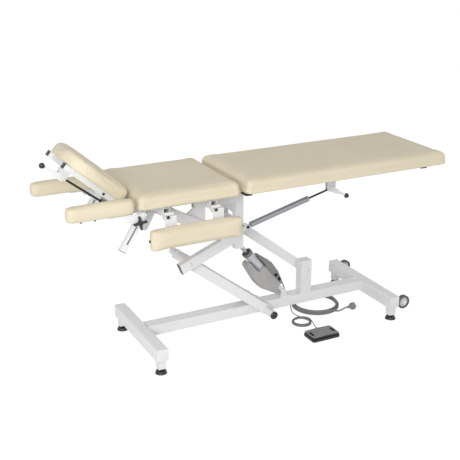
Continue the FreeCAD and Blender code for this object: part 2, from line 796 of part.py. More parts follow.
def head_cushion():
    x1 = head_hinge_x - head_gap
    x0 = x1 - head_length
    half = head_width / 2
    block = box(x0, x1, -half, half, cushion_bottom_z, table_top_z)
    upright = [e for e in block.Edges if abs(e.Vertexes[0].Z - e.Vertexes[1].Z) > 1.0]
    outer = [e for e in upright if e.BoundBox.XMax < x0 + 1]
    inner = [e for e in upright if e.BoundBox.XMin > x1 - 1]
    block = block.makeFillet(head_corner_radius, outer)
    upright = [e for e in block.Edges
               if e.BoundBox.XMin > x1 - 1 and e.BoundBox.ZLength > 1 and e.BoundBox.YLength < 0.01]
    block = block.makeFillet(corner_radius, upright)
    top = [e for e in block.Edges if e.BoundBox.ZMin > table_top_z - 0.01]
    block = block.makeFillet(crown_radius, top)
    bottom = [e for e in block.Edges if e.BoundBox.ZMax < cushion_bottom_z + 0.01]
    return raise_head(block.makeFillet(crown_radius / 3.0, bottom))


def head_frame_end():
    return head_hinge_x - head_gap - head_length + 20


def head_frame():
    x1 = head_hinge_x - seat_gap
    x0 = head_frame_end()
    low = cushion_bottom_z - head_tube
    frame = side_tubes(x0, x1, low, cushion_bottom_z, head_frame_half_span, head_tube, frame_wall)
    half = head_tube / 2
    for side in (NEAR, FAR):
        y0 = min(side * (head_frame_half_span - head_tube), side * frame_half_span)
        y1 = max(side * (head_frame_half_span - head_tube), side * frame_half_span)
        frame.append(hollow_y(x1 - head_tube, x1, y0, y1, low, cushion_bottom_z, frame_wall))
    fork_x = head_hinge_x - head_spring_high_u
    frame.append(hollow_y(fork_x - half, fork_x + half, -head_frame_half_span, head_frame_half_span,
                          low, cushion_bottom_z, frame_wall))
    frame += hinge_barrels(x1, head_hinge_x, frame_half_span, frame_tube, hinge_z, hinge_barrel_radius)
    frame.append(spring_fork_level(fork_x, hinge_z + head_spring_high_n, low))
    shape = joined(*frame)
    shape = shape.cut(pin_holes(head_hinge_x, hinge_z, running_gap))
    return raise_head(shape)


def head_frame_plugs():
    plugs = []
    x0 = head_frame_end()
    for side in (NEAR, FAR):
        y1 = side * head_frame_half_span
        y0 = side * (head_frame_half_span - head_tube)
        plug = box(x0 - 5, x0, min(y0, y1), max(y0, y1), cushion_bottom_z - head_tube, cushion_bottom_z)
        plugs.append(raise_head(plug))
    return Part.makeCompound(plugs)


# Gas springs


def spring_cylinder(xa, za, xb, zb, length):
    # The cylinder with its eye at the lower pivot, open at the rod's end.
    angle = math.degrees(math.atan2(zb - za, xb - xa))
    eye = cyl_y(xa, za, spring_y - spring_eye_width / 2, spring_y + spring_eye_width / 2, spring_eye_radius)
    neck = cyl_x(xa + 4, xa + 26, spring_y, za, 5)
    body = cyl_x(xa + 20, xa + length, spring_y, za, spring_radius)
    bore = cyl_x(xa + 26, xa + length + 1, spring_y, za, spring_bore)
    shape = joined(eye, neck, body.cut(bore))
    shape = shape.cut(cyl_y(xa, za, spring_y - 20, spring_y + 20, spring_pin_radius + running_gap))
    return lift_end(shape, xa, za, angle)


def spring_rod(xa, za, xb, zb, reach):
    # The rod with its eye at the upper pivot; it reaches back inside the cylinder.
    angle = math.degrees(math.atan2(za - zb, xa - xb))
    eye = cyl_y(xb, zb, spring_y - spring_eye_width / 2, spring_y + spring_eye_width / 2, spring_eye_radius)
    rod = cyl_x(xb + 6, xb + reach, spring_y, zb, spring_rod_radius)
    shape = joined(eye, rod)
    shape = shape.cut(cyl_y(xb, zb, spring_y - 20, spring_y + 20, spring_pin_radius + running_gap))
    return lift_end(shape, xb, zb, angle)


# Release levers


def lever_blade(x, z, angle):
    # A forked handle on the outer side of the spring's cheeks.
    y1 = spring_y - spring_eye_width / 2 - fork_gap - fork_plate - 0.5
    y0 = y1 - lever_thick
    blade = plate_y([(x - 13, z - 10), (x + 20, z - 12), (x + lever_length - 30, z - 4),
                     (x + lever_length, z - 3), (x + lever_length, z + 3), (x + lever_length - 30, z + 6),
                     (x + 12, z + 15), (x - 10, z + 12)], y0, y1)
    blade = blade.cut(cyl_y(x, z, y0 - 1, y1 + 1, spring_pin_radius + running_gap))
    return lift_end(blade, x, z, angle)


def lever_knob(x, z, angle):
    y = spring_y - spring_eye_width / 2 - fork_gap - fork_plate - 0.5 - lever_thick / 2
    turn = math.radians(angle)
    return Part.makeSphere(lever_knob_radius, V(x + lever_length * math.cos(turn), y,
                                                z + lever_length * math.sin(turn)))


def lever_pair(x, z, angle):
    blade = lever_blade(x, z, angle)
    knob = lever_knob(x, z, angle)
    return blade.cut(knob), knob


# Actuator, drawn upright along +X from its lower pivot and then leaned


def actuator_angle():
    return math.degrees(math.atan2(actuator_top_z - actuator_base_z, actuator_top_x - actuator_base_x))


def actuator_length():
    return math.hypot(actuator_top_z - actuator_base_z, actuator_top_x - actuator_base_x)


def lean(shape):
    return lift_end(shape, actuator_base_x, actuator_base_z, actuator_angle())


def along(outline):
    # Places given along and beside the actuator's axis, measured from its lower pivot.
    return [(actuator_base_x + t, actuator_base_z + n) for t, n in outline]


def actuator_body():
    # The gear and motor housing; its low corner is cut back to clear the rail when the lift is down.
    x = actuator_base_x
    z = actuator_base_z
    half = actuator_body_width / 2
    deep = actuator_body_depth
    beside = actuator_tube_radius + 2
    outline = along([(58, -14), (58, 12), (28, 26), (34, 38), (124, deep - 1), (162, deep),
                     (actuator_body_end - 10, 56), (actuator_body_end, 47), (actuator_body_end, beside),
                     (actuator_tube_start, beside), (actuator_tube_start, -14)])
    body = plate_y(outline, -half, half)
    edges = [e for e in body.Edges if e.BoundBox.YLength < 0.01 and e.BoundBox.Center.z > z + 30]
    body = body.makeFillet(actuator_body_corner, edges)
    eye = box(x - 9, x + 64, -13.5, 13.5, z - 10, z + 10)
    shape = joined(eye, body)
    shape = shape.cut(cyl_y(x, z, -40, 40, actuator_pin_radius + running_gap))
    return lean(shape)


def actuator_tube():
    x = actuator_base_x
    z = actuator_base_z
    top = x + actuator_tube_end
    tube = cyl_x(x + actuator_tube_start, top, 0, z, actuator_tube_radius)
    collar = cyl_x(top - actuator_collar_length, top, 0, z, actuator_tube_radius + 2)
    tube = joined(tube, collar)
    return lean(tube.cut(cyl_x(x + actuator_tube_start + 5, top + 1, 0, z, actuator_bore_radius)))


def control_box():
    half = control_box_width / 2
    seat = -14 - seat_clearance
    outside = -actuator_tube_radius - 1
    deep = control_box_depth
    end = control_box_end
    step = actuator_tube_start - 4
    outline = along([(control_box_start + 6, seat), (step - 8, seat), (step, outside), (end, outside),
                     (end - 8, -deep + 19), (184, -deep), (115, -deep + 6), (control_box_start, -deep + 29)])
    shell = plate_y(outline, -half, half)
    edges = [e for e in shell.Edges if e.BoundBox.YLength < 0.01 and e.BoundBox.Center.z < actuator_base_z + outside]
    shell = shell.makeFillet(control_box_corner, edges)
    for start in control_box_sockets:
        x = actuator_base_x + start
        z = actuator_base_z
        shell = shell.cut(box(x, x + socket_length, -beyond, -half + socket_depth, z - 36, z - 20))
    return lean(shell)


def actuator_rod():
    x = actuator_base_x
    z = actuator_base_z
    end = x + actuator_length()
    rod = cyl_x(x + actuator_tube_start + actuator_rod_rest, end - 8, 0, z, actuator_rod_radius)
    eye = cyl_y(end, z, -13, 13, 13)
    shape = joined(rod, eye)
    return lean(shape.cut(cyl_y(end, z, -20, 20, actuator_pin_radius + running_gap)))


# Armrests


def armrest_direction():
    lean_angle = math.radians(armrest_lean)
    return math.cos(lean_angle), math.sin(lean_angle)


def rail_y(side):
    mid = side * (armrest_inner_y + armrest_width / 2 + 6)
    return mid - armrest_rail_width / 2, mid + armrest_rail_width / 2


def armrest_rail(side):
    # A slanted rail on the seat frame, with a slot for the clamp screw and a plastic end plug.
    y0, y1 = rail_y(side)
    x = armrest_rail_top_x
    z = armrest_rail_top_z
    half = armrest_rail_depth / 2
    rail = hollow_x(x, x + armrest_rail_length, y0, y1, z - half, z + half, frame_wall)
    cap = box(x + armrest_rail_length - 1, x + armrest_rail_length + 2, y0, y1, z - half, z + half)
    slot = box(x + 55, x + armrest_rail_length - 35, y0 - 1, y1 + 1, z - 4, z + 4)
    rail = joined(rail, cap).cut(slot)
    rail = lift_end(rail, x, z, 180 + armrest_lean)
    rail = rail.cut(box(x - 200, x + 200, -400, 400, cushion_bottom_z - seat_clearance, 1000))
    root = side * (frame_half_span + hinge_ear_thick)
    tip = y1 if side < 0 else y0
    arm = box(seat_head_x + 22, seat_head_x + 38, min(root, tip), max(root, tip),
              cushion_bottom_z - frame_tube, cushion_bottom_z - seat_clearance)
    return rail.fuse(arm).removeSplitter()


def slide_armrest(shape, side):
    if side == NEAR:
        return shape
    dx, dz = armrest_direction()
    moved = shape.copy()
    moved.translate(V(-dx * far_armrest_lower, 0, -dz * far_armrest_lower))
    return moved


def armrest_pad(side):
    y0 = min(side * armrest_inner_y, side * (armrest_inner_y + armrest_width))
    x1 = armrest_end_x
    pad = rounded_block(x1 - armrest_length, x1, y0, y0 + armrest_width,
                        table_top_z - armrest_thick, table_top_z, 33.0, 20.0)
    return slide_armrest(pad, side)


def armrest_bracket(side):
    # A plate under the pad and a square sleeve that slides on the slanted rail.
    y0, y1 = rail_y(side)
    wall = sleeve_wall
    gap = sleeve_gap
    half = armrest_rail_depth / 2 + gap
    start = star_distance - sleeve_length / 2
    x = armrest_rail_top_x
    z = armrest_rail_top_z
    outer = box(x + start, x + start + sleeve_length, y0 - gap - wall, y1 + gap + wall,
                z - half - wall, z + half + wall)
    sleeve = outer.cut(box(x, x + 200, y0 - gap, y1 + gap, z - half, z + half))
    sleeve = lift_end(sleeve, x, z, 180 + armrest_lean)
    low = table_top_z - armrest_thick
    plate = box(armrest_end_x - 120, armrest_end_x - 12, side * (armrest_inner_y + armrest_width / 2) - 22,
                side * (armrest_inner_y + armrest_width / 2) + 22, low - 5, low)
    web_y = y1 + gap if side > 0 else y0 - gap - wall
    web = plate_y([(armrest_end_x - 66, low - 3), (armrest_end_x + 34, low - 3), (armrest_end_x + 36, low - 26),
                   (armrest_end_x + 10, low - 44), (armrest_end_x - 40, low - 36)], web_y, web_y + wall)
    inside = lift_end(box(x, x + 200, y0 - gap, y1 + gap, z - half, z + half), x, z, 180 + armrest_lean)
    shape = joined(plate, web, sleeve).cut(inside)
    ceiling = box(x - 300, x + 300, -400, 400, low, low + 200)
    shape = shape.cut(ceiling)
    sx, sz = star_centre()
    screw_y = y1 + gap if side > 0 else y0 - gap - wall
    shape = shape.cut(cyl_y(sx, sz, screw_y - 1, screw_y + wall + 1, 5 + running_gap))
    return slide_armrest(shape, side)


def star_centre():
    dx, dz = armrest_direction()
    x = armrest_rail_top_x - dx * star_distance
    z = armrest_rail_top_z - dz * star_distance
    return x, z


def star_knob(side):
    # A four-armed clamping knob whose screw presses on the slanted rail.
    x, z = star_centre()
    y0, y1 = rail_y(side)
    face = y1 if side > 0 else y0
    base = face + side * 5.5
    hub = cyl_y(x, z, min(base, base + side * star_thick), max(base, base + side * star_thick), 11)
    arms = []
    for turn in range(4):
        arm = box(x, x + star_radius - 5, min(base + side * 3, base + side * star_thick),
                  max(base + side * 3, base + side * star_thick), z - 4.5, z + 4.5)
        tip = cyl_y(x + star_radius - 5, z, min(base + side * 3, base + side * star_thick),
                    max(base + side * 3, base + side * star_thick), 5.0)
        arms.append(lift_end(arm.fuse(tip), x, z, 90 * turn + 8))
    screw = cyl_y(x, z, min(face + side * 0.1, base), max(face + side * 0.1, base), 5)
    return slide_armrest(joined(hub, screw, *arms), side)


# Side pads that hang beside the seat and swing up a quarter turn


def pad_face_y():
    return table_width / 2 + side_pad_gap


def side_pad(side):
    inner = side * pad_face_y()
    outer = side * (pad_face_y() + side_pad_thick)
    half = side_pad_length / 2
    pad = rounded_block(side_pad_centre_x - half, side_pad_centre_x + half, min(inner, outer), max(inner, outer),
                        side_pad_bottom_z, side_pad_bottom_z + side_pad_height, 16.0, 12.0)
    mid_y = (inner + outer) / 2
    mid_z = side_pad_bottom_z + side_pad_height / 2
    ends = [cyl_x(side_pad_centre_x - half - 6, side_pad_centre_x - half + 2, mid_y, mid_z, 6.5),
            cyl_x(side_pad_centre_x + half - 2, side_pad_centre_x + half + 6, mid_y, mid_z, 6.5)]
    return joined(pad, *ends)


def side_pad_hinges(side):
    # Two folded plates: a face on the pad's inner side and two cheeks around the cross tube's end.
    face = side * pad_face_y()
    pivot_y = side * swing_pivot_y
    wall = swing_plate_thick
    brackets = []
    for x in swing_pivot_x:
        half = swing_plate_width / 2
        plate_y0 = min(face, face - side * wall)
        plate = box(x - half, x + half, plate_y0, plate_y0 + wall, side_pad_bottom_z + 12, swing_pivot_z + 3)
        parts_of = [plate]
        for x0 in (x - half, x + half - wall):
            cheek = box(x0, x0 + wall, min(face, pivot_y), max(face, pivot_y), swing_pivot_z - 16, swing_pivot_z + 3)
            round_end = cyl_x(x0, x0 + wall, pivot_y, swing_pivot_z, swing_eye_radius)
            trim = box(x0 - 1, x0 + wall + 1, pivot_y - 40, pivot_y + 40, swing_pivot_z + 3, swing_pivot_z + 40)
            parts_of += [cheek, round_end.cut(trim)]
        parts_of.append(cyl_x(x - half, x + half, pivot_y, swing_pivot_z, swing_pin_radius))
        bolt_y0 = min(face, face + side * 4)
        parts_of.append(cyl_y(x - 12, swing_pivot_z - 6, bolt_y0, bolt_y0 + 4, 7))
        brackets.append(joined(*parts_of))
    return Part.makeCompound(brackets)


# Foot switch


def foot_switch_base():
    x0 = switch_x
    y0 = switch_y
    low = box(x0, x0 + switch_length, y0, y0 + switch_depth, 0, switch_rim)
    upright = [e for e in low.Edges if e.BoundBox.ZLength > switch_rim - 1]
    low = low.makeFillet(12.0, upright)
    well = box(x0 + 8, x0 + switch_length - 8, y0 + 8, y0 + switch_depth - 8, 4, 30)
    low = low.cut(well)
    mid = x0 + switch_length / 2
    ridge = box(mid - 8, mid + 8, y0 + 10, y0 + switch_depth - 10, 3, pedal_axis_z)
    gx, gy, gz = pedal_switch_route[-1]
    gland = cyl_y(gx, gz, y0 + switch_depth - 1, gy, 5)
    shape = joined(low, ridge, gland)
    return shape.cut(cyl_y(mid, pedal_axis_z, y0, y0 + switch_depth, pedal_pin_radius + running_gap))


def foot_switch_tread():
    # A rocking plate with a shallow roof, rounded corners and a grip slot near each end.
    x0 = switch_x + tread_margin
    x1 = switch_x + switch_length - tread_margin
    y0 = switch_y + tread_margin
    y1 = switch_y + switch_depth - tread_margin
    mid = (x0 + x1) / 2
    low = switch_height - tread_thick
    plate = box(x0, x1, y0, y1, low, switch_height + 1)
    plate = plate.makeFillet(10.0, [e for e in plate.Edges if e.BoundBox.ZLength > tread_thick])
    eaves = switch_height - tread_fall
    roof = plate_y([(x0 - 1, low - 1), (x1 + 1, low - 1), (x1 + 1, eaves), (mid, switch_height), (x0 - 1, eaves)],
                   y0 - 1, y1 + 1)
    plate = plate.common(roof)
    for x in (x0 + slot_inset, x1 - slot_inset - slot_width):
        slot = box(x, x + slot_width, y0 + slot_end, y1 - slot_end, switch_height - 6.5, switch_height + 1)
        plate = plate.cut(slot)
    web = box(mid - 3, mid + 3, switch_y + 9, switch_y + switch_depth - 9, pedal_axis_z, low + 1)
    pin = cyl_y(mid, pedal_axis_z, switch_y + 3, switch_y + switch_depth - 3, pedal_pin_radius)
    return joined(plate, web, pin)


# Cords


def cord_tube(points, radius):
    # Straight runs joined by tangent arcs, each as large as its two runs allow.
    vectors = [V(*p) for p in points]
    edges = []
    start = vectors[0]
    for before, corner, after in zip(vectors, vectors[1:], vectors[2:]):
        into = corner - before
        out = after - corner
        turn = into.getAngle(out)
        bend = 0.45 * min(into.Length, out.Length) / math.tan(turn / 2)
        setback = bend * math.tan(turn / 2)
        a = corner - into.normalize() * setback
        b = corner + out.normalize() * setback
        middle_way = (a - corner) + (b - corner)
        centre_distance = bend / math.cos(turn / 2)
        middle = corner + middle_way.normalize() * (centre_distance - bend)
        edges.append(Part.LineSegment(start, a).toShape())
        edges.append(Part.Arc(a, middle, b).toShape())
        start = b
    edges.append(Part.LineSegment(start, vectors[-1]).toShape())
    path = Part.Wire(edges)
    first = vectors[1] - vectors[0]
    ring = Part.Wire(Part.makeCircle(radius, vectors[0], first))
    return path.makePipeShell([ring], True, True)


def coil_solid(x, y, radius, band, height):
    ring = cyl_z(x, y, 0, height, radius)
    return ring.cut(cyl_z(x, y, -1, height + 1, radius - band))


def cord_glands():
    # Tapered strain reliefs where the two cords leave the rail.
    x, z = mains_gland
    face = rail_width / 2
    side = Part.makeCone(9, mains_cord_radius + 1.5, gland_length, V(x, face, z), V(0, 1, 0))
    nut = cyl_y(x, z, face, face + 4, 11)
    under_x, under_y = pedal_gland
    low = Part.makeCone(7, pedal_cord_radius + 1.5, gland_length, V(under_x, under_y, rail_bottom_z), V(0, 0, -1))
    low_nut = cyl_z(under_x, under_y, rail_bottom_z - 4, rail_bottom_z, 9)
    return Part.makeCompound([joined(side, nut), joined(low, low_nut)])


def mains_plug():
    # A round two-pin plug that lies on its side, with its tapered cord relief.
    x, y, z = mains_plug_route[-1]
    profile = Part.makePolygon([V(x, y, z), V(x, y, z + mains_cord_radius + 1), V(x + 14, y, z + 8),
                                V(x + 20, y, z + 15), V(x + 26, y, z + 19), V(x + 40, y, z + 19),
                                V(x + 41, y, z + 17), V(x + 41, y, z), V(x, y, z)])
    body = Part.Face(profile).revolve(V(x, y, z), V(1, 0, 0), 360)
    for offset in (-9.5, 9.5):
        pin = cyl_x(x + 40, x + 58, y + offset, z, 2.4)
        body = body.fuse(pin)
    return body.removeSplitter()


# All the nodes

save("base_rail", base_rail())
save("head_foot_bar", foot_bar(head_foot_bar_x, head_foot_bar_length))
save("leg_foot_bar", leg_foot_bar())
save("levelling_feet", levelling_feet())
save("column_post", column_post())
save("base_pivot_tube", base_pivot_tube())
save("actuator_bracket", actuator_bracket())
save("cord_glands", cord_glands())
save("knee_tube", knee_tube())
save("upper_arm", upper_arm())
for label, side in (("near", NEAR), ("far", FAR)):
    save("wheel_" + label, wheel(side))
    save("lower_arm_" + label, lower_arm(side))
    save("armrest_rail_" + label, armrest_rail(side))
    save("armrest_bracket_" + label, armrest_bracket(side))
    save("armrest_pad_" + label, armrest_pad(side))
    save("armrest_star_knob_" + label, star_knob(side))
    save("side_pad_" + label, side_pad(side))
    save("side_pad_hinges_" + label, side_pad_hinges(side))
save("near_post", near_post())
save("far_post", far_post())
save("near_strut", near_strut())
save("diagonal_brace", diagonal_brace())
save("under_seat_cradle", under_seat_cradle())
save("rod_lug", rod_lug())
save("seat_frame", seat_frame())
save("seat_cushion", seat_cushion())
save("leg_frame", leg_frame())
save("leg_cushion", leg_cushion())
save("head_frame", head_frame())
save("head_frame_plugs", head_frame_plugs())
save("head_cushion", head_cushion())
save("actuator_housing", actuator_body())
save("actuator_tube", actuator_tube())
save("actuator_rod", actuator_rod())
save("control_box", control_box())
leg_spring = (leg_spring_low_x, leg_spring_low_z, leg_spring_high_x, leg_spring_high_z)
head_spring = (head_spring_low_x, head_spring_low_z, head_fork_x, head_fork_z)
save("leg_spring_cylinder", spring_cylinder(*leg_spring, leg_spring_cylinder_length))
save("leg_spring_rod", spring_rod(*leg_spring, leg_spring_rod_length))
save("head_spring_cylinder", spring_cylinder(*head_spring, head_spring_cylinder_length))
save("head_spring_rod", spring_rod(*head_spring, head_spring_rod_length))
leg_lever, leg_knob = lever_pair(leg_spring_high_x, leg_spring_high_z, leg_lever_angle)
head_lever, head_knob = lever_pair(head_fork_x, head_fork_z, head_lever_angle)
save("leg_release_lever", leg_lever)
save("leg_release_knob", leg_knob)
save("head_release_lever", head_lever)
save("head_release_knob", head_knob)
save("foot_switch_base", foot_switch_base())
save("foot_switch_tread", foot_switch_tread())

mains_coil = coil_solid(mains_coil_x, mains_coil_y, mains_coil_radius, mains_coil_band, mains_coil_height)
pedal_coil = coil_solid(pedal_coil_x, pedal_coil_y, pedal_coil_radius, pedal_coil_band, pedal_coil_height)
mains_disc = cyl_z(mains_coil_x, mains_coil_y, -5, mains_coil_height, mains_coil_radius)
pedal_disc = cyl_z(pedal_coil_x, pedal_coil_y, -5, pedal_coil_height, pedal_coil_radius)
save("mains_cord_coil", mains_coil)
save("mains_cord_lead", cord_tube(mains_route, mains_cord_radius).cut(mains_disc))
save("mains_plug_lead", cord_tube(mains_plug_route, mains_cord_radius).cut(mains_disc))
save("mains_plug", mains_plug())
save("foot_switch_coil", pedal_coil)
save("foot_switch_lead", cord_tube(pedal_route, pedal_cord_radius).cut(pedal_disc))
save("foot_switch_tail", cord_tube(pedal_switch_route, pedal_cord_radius).cut(pedal_disc))

low = V(*[min(getattr(s.BoundBox, k) for s in nodes.values()) for k in ("XMin", "YMin", "ZMin")])
high = V(*[max(getattr(s.BoundBox, k) for s in nodes.values()) for k in ("XMax", "YMax", "ZMax")])
print("nodes", len(nodes), "low", low, "high", high)
for name, shape in nodes.items():
    if not shape.isValid():
        print("not valid:", name)
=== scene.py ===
# Electric massage table dressed for rendering: materials, upholstery, cords, small fittings.
import json
import math

import bmesh
import bpy
import numpy as np
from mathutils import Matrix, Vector


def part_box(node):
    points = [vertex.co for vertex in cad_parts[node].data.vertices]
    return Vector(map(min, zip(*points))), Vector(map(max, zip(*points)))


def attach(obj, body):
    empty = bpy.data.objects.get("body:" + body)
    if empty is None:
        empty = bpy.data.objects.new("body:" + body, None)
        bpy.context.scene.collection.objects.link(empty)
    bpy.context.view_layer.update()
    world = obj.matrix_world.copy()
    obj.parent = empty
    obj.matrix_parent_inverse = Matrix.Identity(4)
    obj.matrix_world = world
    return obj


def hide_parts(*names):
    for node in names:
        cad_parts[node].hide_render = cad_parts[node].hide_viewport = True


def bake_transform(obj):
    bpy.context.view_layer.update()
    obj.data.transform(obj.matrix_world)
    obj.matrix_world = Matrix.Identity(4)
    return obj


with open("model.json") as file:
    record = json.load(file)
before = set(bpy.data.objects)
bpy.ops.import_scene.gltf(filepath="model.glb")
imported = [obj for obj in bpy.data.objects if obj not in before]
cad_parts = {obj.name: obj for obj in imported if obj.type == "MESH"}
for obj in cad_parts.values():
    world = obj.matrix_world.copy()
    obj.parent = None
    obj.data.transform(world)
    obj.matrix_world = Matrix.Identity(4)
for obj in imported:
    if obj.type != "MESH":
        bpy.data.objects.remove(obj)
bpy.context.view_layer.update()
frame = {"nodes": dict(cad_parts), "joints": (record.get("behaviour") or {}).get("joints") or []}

# The hinge line between seat and leg section; part.py measures x from it, in millimetres.
HINGE_X = next(j for j in frame["joints"] if j["name"] == "leg_section_hinge")["pos_m"][0]
HEAD_RAISE = math.radians(41.0)

# Places of part.py's mechanism, in millimetres: x from the hinge line, z from the floor.
KNEE = (-202, 433)
COLUMN_PIVOT = (479, 257)
ACTUATOR_FOOT = (350, 158)
ACTUATOR_TOP = (98, 455)
ARMREST_RAIL_TOP = (-486, 786)
SPRING_Y = -80
LEG_SPRING_LOW = (102, 570)
LEG_SPRING_HIGH = (567, 692)
HEAD_SPRING_LOW = (-420, 650)
PLUG_Y = -80
PLUG_Z = 19.3

X_AXIS = (1, 0, 0)
Y_AXIS = (0, 1, 0)
Z_AXIS = (0, 0, 1)
SIDES = (("near", -1), ("far", 1))


def place(x, y, z):
    """A point of part.py, in millimetres from the hinge line, as metres in the frame."""
    return Vector((HINGE_X + x / 1000.0, y / 1000.0, z / 1000.0))


def in_plane(spot, y=0):
    """A place of the mechanism, (x, z), at the given y."""
    return place(spot[0], y, spot[1])


def direction(degrees):
    """A direction in the XZ plane, from +X towards +Z."""
    return Vector((math.cos(math.radians(degrees)), 0.0, math.sin(math.radians(degrees))))


# Camera

LENS_MM = 69.95
SENSOR_MM = 36.0
CAMERA_AT = (-1.9182, -3.6117, 2.0159)
CAMERA_AIM = Vector((-0.0819, 0.0, 0.53316))

camera_data = bpy.data.cameras.new("camera")
camera_data.lens = LENS_MM
camera_data.sensor_width = SENSOR_MM
camera_data.clip_end = 60.0
camera = bpy.data.objects.new("camera", camera_data)
bpy.context.scene.collection.objects.link(camera)
camera.location = CAMERA_AT
camera.rotation_euler = (CAMERA_AIM - camera.location).to_track_quat("-Z", "Y").to_euler()
bpy.context.scene.camera = camera


# Material nodes

BLACK = (0.016, 0.016, 0.017, 1)
LINES_ALONG = (0.05, 1, 1)


def shade(colour, factor):
    """A colour made darker or lighter by a factor."""
    return tuple(c * factor for c in colour[:3]) + (1,)


class Finish:
    """One material: a principled shader with the nodes that feed its colour, roughness and bump."""

    def __init__(self, name):
        self.material = bpy.data.materials.new(name)
        self.material.use_nodes = True
        self.tree = self.material.node_tree
        self.tree.nodes.clear()
        self.output = self.new("ShaderNodeOutputMaterial")
        self.shader = self.new("ShaderNodeBsdfPrincipled")
        self.link(self.shader.outputs[0], self.output.inputs[0])
        self.coordinates = self.new("ShaderNodeTexCoord").outputs["Object"]

    def new(self, kind, **settings):
        node = self.tree.nodes.new(kind)
        for key, value in settings.items():
            setattr(node, key, value)
        return node

    def link(self, source, socket):
        self.tree.links.new(source, socket)

    def feed(self, value, socket):
        if isinstance(value, bpy.types.NodeSocket):
            self.link(value, socket)
        else:
            socket.default_value = value

    def set(self, **values):
        for key, value in values.items():
            self.feed(value, self.shader.inputs[key.replace("_", " ")])

    def noise(self, scale, detail=2.0, roughness=0.5, stretch=None):
        node = self.new("ShaderNodeTexNoise")
        self.link(self.stretched(stretch), node.inputs["Vector"])
        node.inputs["Scale"].default_value = scale
        node.inputs["Detail"].default_value = detail
        node.inputs["Roughness"].default_value = roughness
        return node.outputs["Fac"]

    def cells(self, scale, feature="F1"):
        node = self.new("ShaderNodeTexVoronoi", feature=feature)
        self.link(self.coordinates, node.inputs["Vector"])
        node.inputs["Scale"].default_value = scale
        return node.outputs["Distance"]

    def stretched(self, stretch):
        if stretch is None:
            return self.coordinates
        turn, scale = stretch
        node = self.new("ShaderNodeMapping")
        self.link(self.coordinates, node.inputs["Vector"])
        node.inputs["Rotation"].default_value = turn
        node.inputs["Scale"].default_value = scale
        return node.outputs[0]

    def range(self, value, low, high, to_low=0.0, to_high=1.0):
        node = self.new("ShaderNodeMapRange")
        self.link(value, node.inputs["Value"])
        node.inputs["From Min"].default_value = low
        node.inputs["From Max"].default_value = high
        node.inputs["To Min"].default_value = to_low
        node.inputs["To Max"].default_value = to_high
        return node.outputs[0]

    def mix(self, share, first, second):
        node = self.new("ShaderNodeMix", data_type="RGBA")
        self.feed(share, node.inputs[0])
        self.feed(first, node.inputs[6])
        self.feed(second, node.inputs[7])
        return node.outputs[2]

    def math(self, operation, first, second=0.0):
        node = self.new("ShaderNodeMath", operation=operation)
        self.feed(first, node.inputs[0])
        self.feed(second, node.inputs[1])
        return node.outputs[0]

    def bump(self, height, distance, strength=1.0, after=None):
        node = self.new("ShaderNodeBump")
        node.inputs["Strength"].default_value = strength
        node.inputs["Distance"].default_value = distance
        self.link(height, node.inputs["Height"])
        if after is not None:
            self.link(after, node.inputs["Normal"])
        return node.outputs[0]

    def shifted(self, origin):
        node = self.new("ShaderNodeVectorMath", operation="SUBTRACT")
        self.link(self.coordinates, node.inputs[0])
        node.inputs[1].default_value = origin
        return node

    def along(self, axis, origin=(0, 0, 0)):
        """How far a point lies beyond origin along axis, in metres."""
        shifted = self.shifted(origin)
        dot = self.new("ShaderNodeVectorMath", operation="DOT_PRODUCT")
        self.link(shifted.outputs[0], dot.inputs[0])
        dot.inputs[1].default_value = axis
        return dot.outputs["Value"]

    def away_from_axis(self, origin, axis):
        """How far a point lies from a line, in metres."""
        shifted = self.shifted(origin)
        cross = self.new("ShaderNodeVectorMath", operation="CROSS_PRODUCT")
        self.link(shifted.outputs[0], cross.inputs[0])
        cross.inputs[1].default_value = axis
        length = self.new("ShaderNodeVectorMath", operation="LENGTH")
        self.link(cross.outputs[0], length.inputs[0])
        return length.outputs["Value"]

    def beyond(self, value, edge):
        return self.math("GREATER_THAN", value, edge)

    def within(self, value, edge):
        return self.math("SUBTRACT", 1.0, self.beyond(value, edge))

    def between(self, value, low, high):
        return self.math("MULTIPLY", self.beyond(value, low), self.within(value, high))

    def outside_middle(self, half):
        """1 where a point lies further than half from the part's middle plane."""
        return self.beyond(self.math("ABSOLUTE", self.along(Y_AXIS)), half)


def worn(finish, colour, other, low=0.35, high=0.65, scale=6.0):
    """Slow, faint variation between two close colours."""
    return finish.mix(finish.range(finish.noise(scale, 3.0), low, high), colour, other)


def edges(finish):
    """1 along sharp convex edges, 0 elsewhere."""
    geometry = finish.new("ShaderNodeNewGeometry")
    return finish.range(geometry.outputs["Pointiness"], 0.52, 0.62)


def vinyl():
    f = Finish("cream vinyl")
    grain = f.cells(620.0, "SMOOTH_F1")
    pores = f.noise(2300.0, 1.0)
    slow = worn(f, (0.70, 0.630, 0.475, 1), (0.665, 0.597, 0.445, 1), scale=3.5)
    valley = f.range(grain, 0.1, 0.75, 0.0, 0.16)
    f.set(Base_Color=f.mix(valley, slow, (0.56, 0.49, 0.35, 1)))
    f.set(Roughness=f.range(f.noise(9.0, 4.0), 0.3, 0.7, 0.47, 0.57), Specular_IOR_Level=0.28)
    fine = f.bump(pores, 0.00006, 0.5)
    f.set(Normal=f.bump(grain, 0.00022, 0.7, fine))
    return f.material


